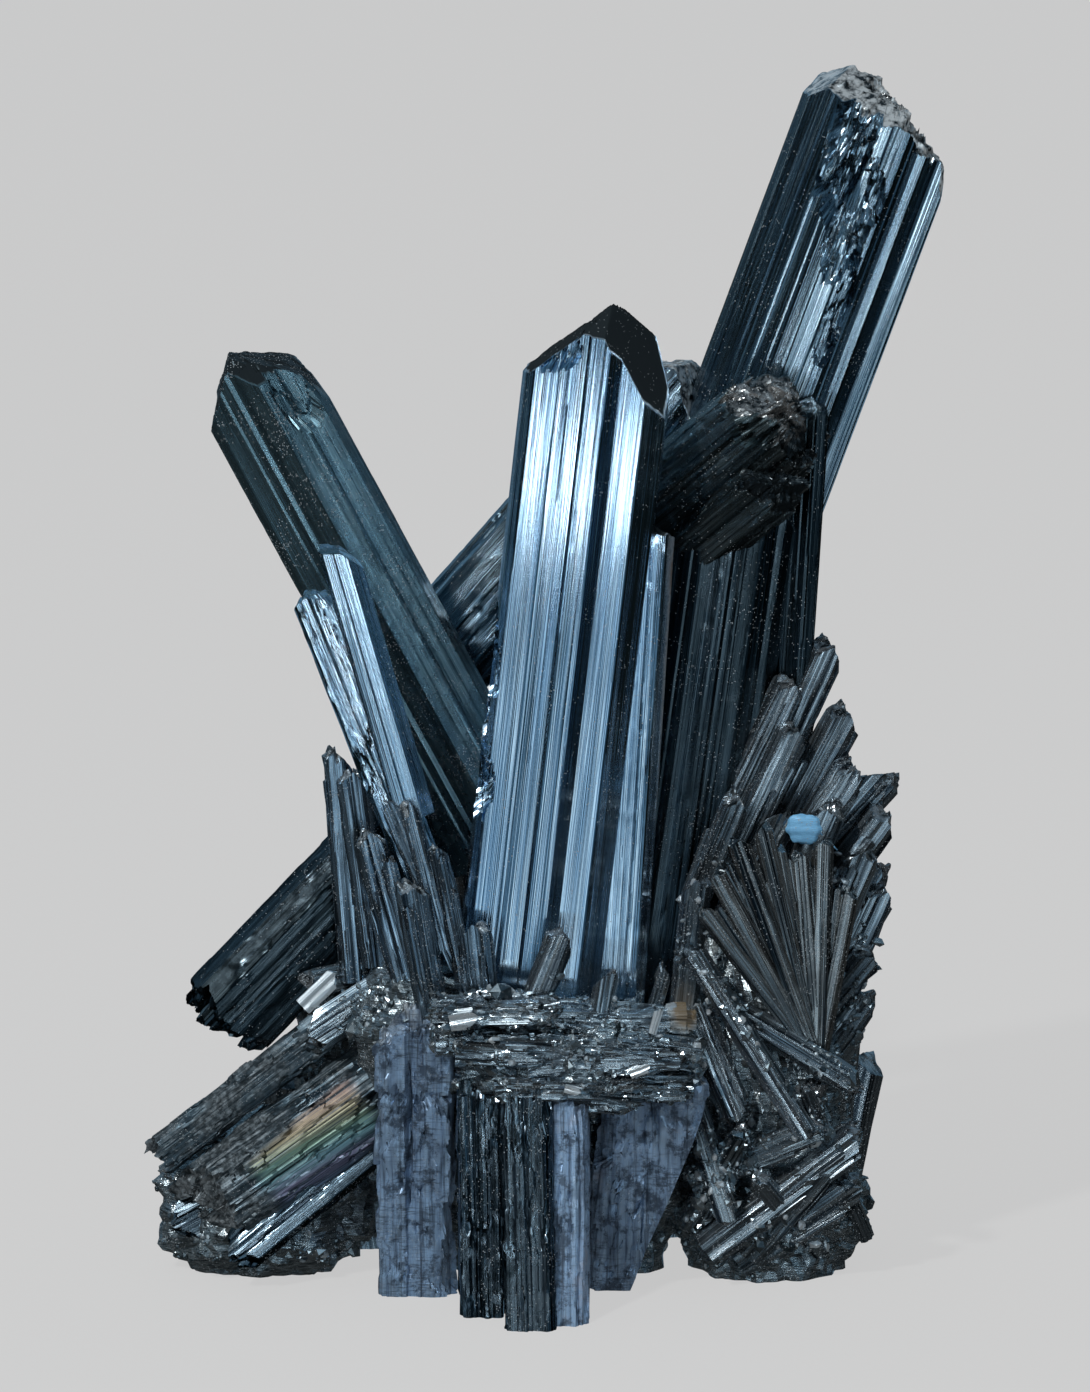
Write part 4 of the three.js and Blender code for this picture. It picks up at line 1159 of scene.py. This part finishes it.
def grain_tree():
    """Angular grains scattered in patches over a surface."""
    inputs = [("Surface", "Geometry", None)]
    for name, default in (
        ("Grains a square metre", 200000.0), ("Smallest", 0.0004), ("Largest", 0.0012), ("Lowest", 0.002),
        ("Highest", 0.08), ("Furthest back", 0.02),
    ):
        inputs.append((name, "Float", default))
    inputs += [("Seed", "Int", 3), ("Material", "Material", None)]
    tree, identifiers, given = new_group("crust grains", "Grains", inputs)

    place = out(tree.nodes.new("GeometryNodeInputPosition"))
    _, y, z = split_xyz(place)
    patch = ramp(noise(place, 90, 3, 0.6), 0.48, 0.6)
    allowed = calc("LESS_THAN", y, given["Furthest back"]) * calc("LESS_THAN", z, given["Highest"])
    allowed = allowed * calc("GREATER_THAN", z, given["Lowest"])
    points = add_node(tree, "GeometryNodeDistributePointsOnFaces", {
        "Mesh": given["Surface"], "Density": patch * allowed * given["Grains a square metre"],
        "Seed": given["Seed"],
    })
    stone = add_node(tree, "GeometryNodeMeshIcoSphere", {"Radius": 1, "Subdivisions": 1})

    def random_vector(lowest, highest, seed):
        return out(add_node(tree, "FunctionNodeRandomValue", {
            "Min": lowest, "Max": highest, "Seed": seed,
        }, data_type="FLOAT_VECTOR"))

    size = out(add_node(tree, "FunctionNodeRandomValue", {
        2: given["Smallest"], 3: given["Largest"], "Seed": 12,
    }, data_type="FLOAT"), 1)
    form = random_vector((0.35, 0.35, 0.5), (0.8, 0.8, 1.3), 13)
    spread = add_node(tree, "GeometryNodeInstanceOnPoints", {
        "Points": out(points), "Instance": out(stone),
        "Rotation": random_vector((0, 0, 0), (FULL_TURN, FULL_TURN, FULL_TURN), 11),
        "Scale": calc_vector("MULTIPLY", form, join_xyz(size, size, size)),
    })
    real = add_node(tree, "GeometryNodeRealizeInstances", {0: out(spread)})
    made = add_node(tree, "GeometryNodeSetMaterial", {"Geometry": out(real), "Material": given["Material"]})
    connect(out(made), tree.nodes.new("NodeGroupOutput").inputs[0])
    return tree, identifiers


GRAIN_TREE, GRAIN_INPUTS = grain_tree()
root_piece = bpy.data.objects["root_cluster_grown"]

# Grains over the root and its lumps: how many, smallest, largest, lowest, highest, seed, material.
for name, *row in (
    ("crust_grains", 260000.0, 0.0004, 0.0013, 0.0025, 0.075, 5, GRAINS),
    ("crust_rubble", 14000.0, 0.0012, 0.003, 0.0045, 0.07, 9, GRAINS),
    # The last row's pale grains are painted glints over the crust.
    ("painted_glint_grains", 30000.0, 0.0004, 0.0016, 0.0025, 0.09, 21, PAINTED_GLINT_PALE),
):
    ground = joined("ground", [piece.data.copy() for piece in (root_piece, lumps)], GRAINS)
    modifier = ground.modifiers.new("grains", "NODES")
    modifier.node_group = GRAIN_TREE
    modifier[GRAIN_INPUTS["Furthest back"]] = 0.0
    for key, value in zip(
        ("Grains a square metre", "Smallest", "Largest", "Lowest", "Highest", "Seed", "Material"), row
    ):
        modifier[GRAIN_INPUTS[key]] = value
    finished(new_object(name, evaluated(ground)), "root_cluster")

# Chips coloured pale as painted glints, and a blue flake, that lie on the cluster.
chip_draws = random_numbers(8)
meshes = meshes_of(blades(PAINTED_GLINT_CHIP_ROWS, chip_draws), PAINTED_GLINT_PALE, 0.3, 1.5, CHIP_LOOK)
finished(joined("painted_glint_chips", meshes, PAINTED_GLINT_PALE), "root_cluster")
meshes = meshes_of(blades(BLUE_CHIPS, chip_draws), BLUE_CHIP, 0.3, 1.5, CHIP_LOOK)
meshes += [crust_lump(*flake, fineness=4) for flake in BLUE_FLAKES]
finished(joined("blue_chips", meshes, BLUE_CHIP), "root_cluster")



def floor_material():
    """Smooth pale board with a faint tooth."""
    material, tree, surface = new_material("pale board")
    tooth = noise(out(tree.nodes.new("ShaderNodeTexCoord"), "Object"), 700, 3)
    colour = blend_colour(ramp(tooth, 0.3, 0.7), shade(0.085, 0.086, 0.086), shade(0.09, 0.09, 0.09))
    connect(colour, surface.inputs["Base Color"])
    surface.inputs["Emission Color"].default_value = shade(0.55, 0.55, 0.551)
    surface.inputs["Emission Strength"].default_value = 1.0
    surface.inputs["Roughness"].default_value = 1.0
    surface.inputs["Specular IOR Level"].default_value = 0.0
    return material


FLOOR_HALF = 12.0
floor_mesh = bpy.data.meshes.new("floor")
floor_mesh.from_pydata(
    [(FLOOR_HALF * x, FLOOR_HALF * y, 0) for x, y in ((-1, -1), (1, -1), (1, 1), (-1, 1))],
    [], [(0, 1, 2, 3)])
floor_mesh.materials.append(floor_material())
floor = new_object("floor", floor_mesh)
floor.visible_glossy = False


def make_surroundings():
    """Even pale light all round, and a dark room with bright windows for what the crystals mirror."""
    world = bpy.data.worlds.new("room")
    bpy.context.scene.world = world
    world.use_nodes = True
    tree = world.node_tree
    tree.nodes.clear()
    x, y, z = split_xyz(out(tree.nodes.new("ShaderNodeTexCoord"), "Generated"))
    turn = calc("ARCTAN2", x, y * -1)

    def window(low, high, bottom, top, soft, strength):
        side = ramp(turn, low - soft, low + soft) * ramp(turn, high + soft, high - soft)
        rise = ramp(z, bottom - soft, bottom + soft) * ramp(z, top + soft, top - soft)
        return side * rise * strength

    light = 0.008 + ramp(z, 0.25, 1, 0, 0.25)
    for area in WINDOWS:
        light = light + window(*area)
    tint = blend_colour(ramp(light, 0.02, 0.14), shade(0.6, 0.9, 0.95), shade(0.4, 0.72, 1))
    tint = blend_colour(ramp(light, 0.5, 1.3), tint, shade(0.78, 0.92, 1))
    mirrored = add_node(tree, "ShaderNodeBackground", {"Color": scaled(tint, light), "Strength": 1})
    even = add_node(tree, "ShaderNodeBackground", {"Color": shade(0.92, 0.97, 1), "Strength": 0.45})
    glossy = out(tree.nodes.new("ShaderNodeLightPath"), "Is Glossy Ray")
    mixed = add_node(tree, "ShaderNodeMixShader", {0: glossy, 1: out(even), 2: out(mirrored)})
    connect(out(mixed), tree.nodes.new("ShaderNodeOutputWorld").inputs[0])
    world.cycles.sampling_method = "NONE"


# Each window: its sides as angles from the camera's side, its sill and top, softness, strength.
WINDOWS = [
    (-0.4, 0.3, -0.36, -0.06, 0.08, 0.35),
    (0.0, 0.3, -0.36, -0.06, 0.05, 0.75),
    (-0.4, 0.3, -0.36, -0.18, 0.04, 0.52),
    (-1.24, -1.21, -0.5, 0.5, 0.015, 0.7),
    (-0.6, 0.2, 0.5, 0.85, 0.08, 1.6),
    (-0.8, -0.62, 0.08, 0.24, 0.03, 2.6),
    (0.4, 0.55, 0.28, 0.42, 0.03, 5.0),
    (0.1, 0.25, 0.1, 0.2, 0.03, 4.0),
    (0.5, 1.0, -0.5, 0.5, 0.1, 0.3),
    (-2.2, -1.85, -0.3, 0.9, 0.1, 0.3),
    (2.4, 4.0, 0.1, 0.5, 0.06, 0.35),
    (-4.0, -2.4, 0.1, 0.5, 0.06, 0.35),
    (2.75, 4.0, -0.36, -0.06, 0.08, 0.5),
    (-4.0, -2.75, -0.36, -0.06, 0.08, 0.5),
]
make_surroundings()


def window_light(name, place, target, size, power, colour, lights_dust=False):
    """A soft light that the crystals mirror; the key light also lights what is dull."""
    data = bpy.data.lights.new(name, "AREA")
    data.shape = "RECTANGLE"
    data.size, data.size_y = size
    data.energy = power
    data.color = colour
    light = new_object(name, data)
    light.location = place
    light.rotation_euler = (Vector(target) - Vector(place)).to_track_quat("-Z", "Y").to_euler()
    light.visible_camera = False
    light.visible_diffuse = lights_dust


window_light("low front strip", (-0.01, -0.6, 0.105), (0, 0, 0.15), (0.3, 0.012), 0.15, (0.86, 0.94, 1))
window_light("key", (-0.7, -1.1, 1.15), (0, 0, 0.08), (0.1, 0.1), 16, (1, 0.99, 0.97), lights_dust=True)
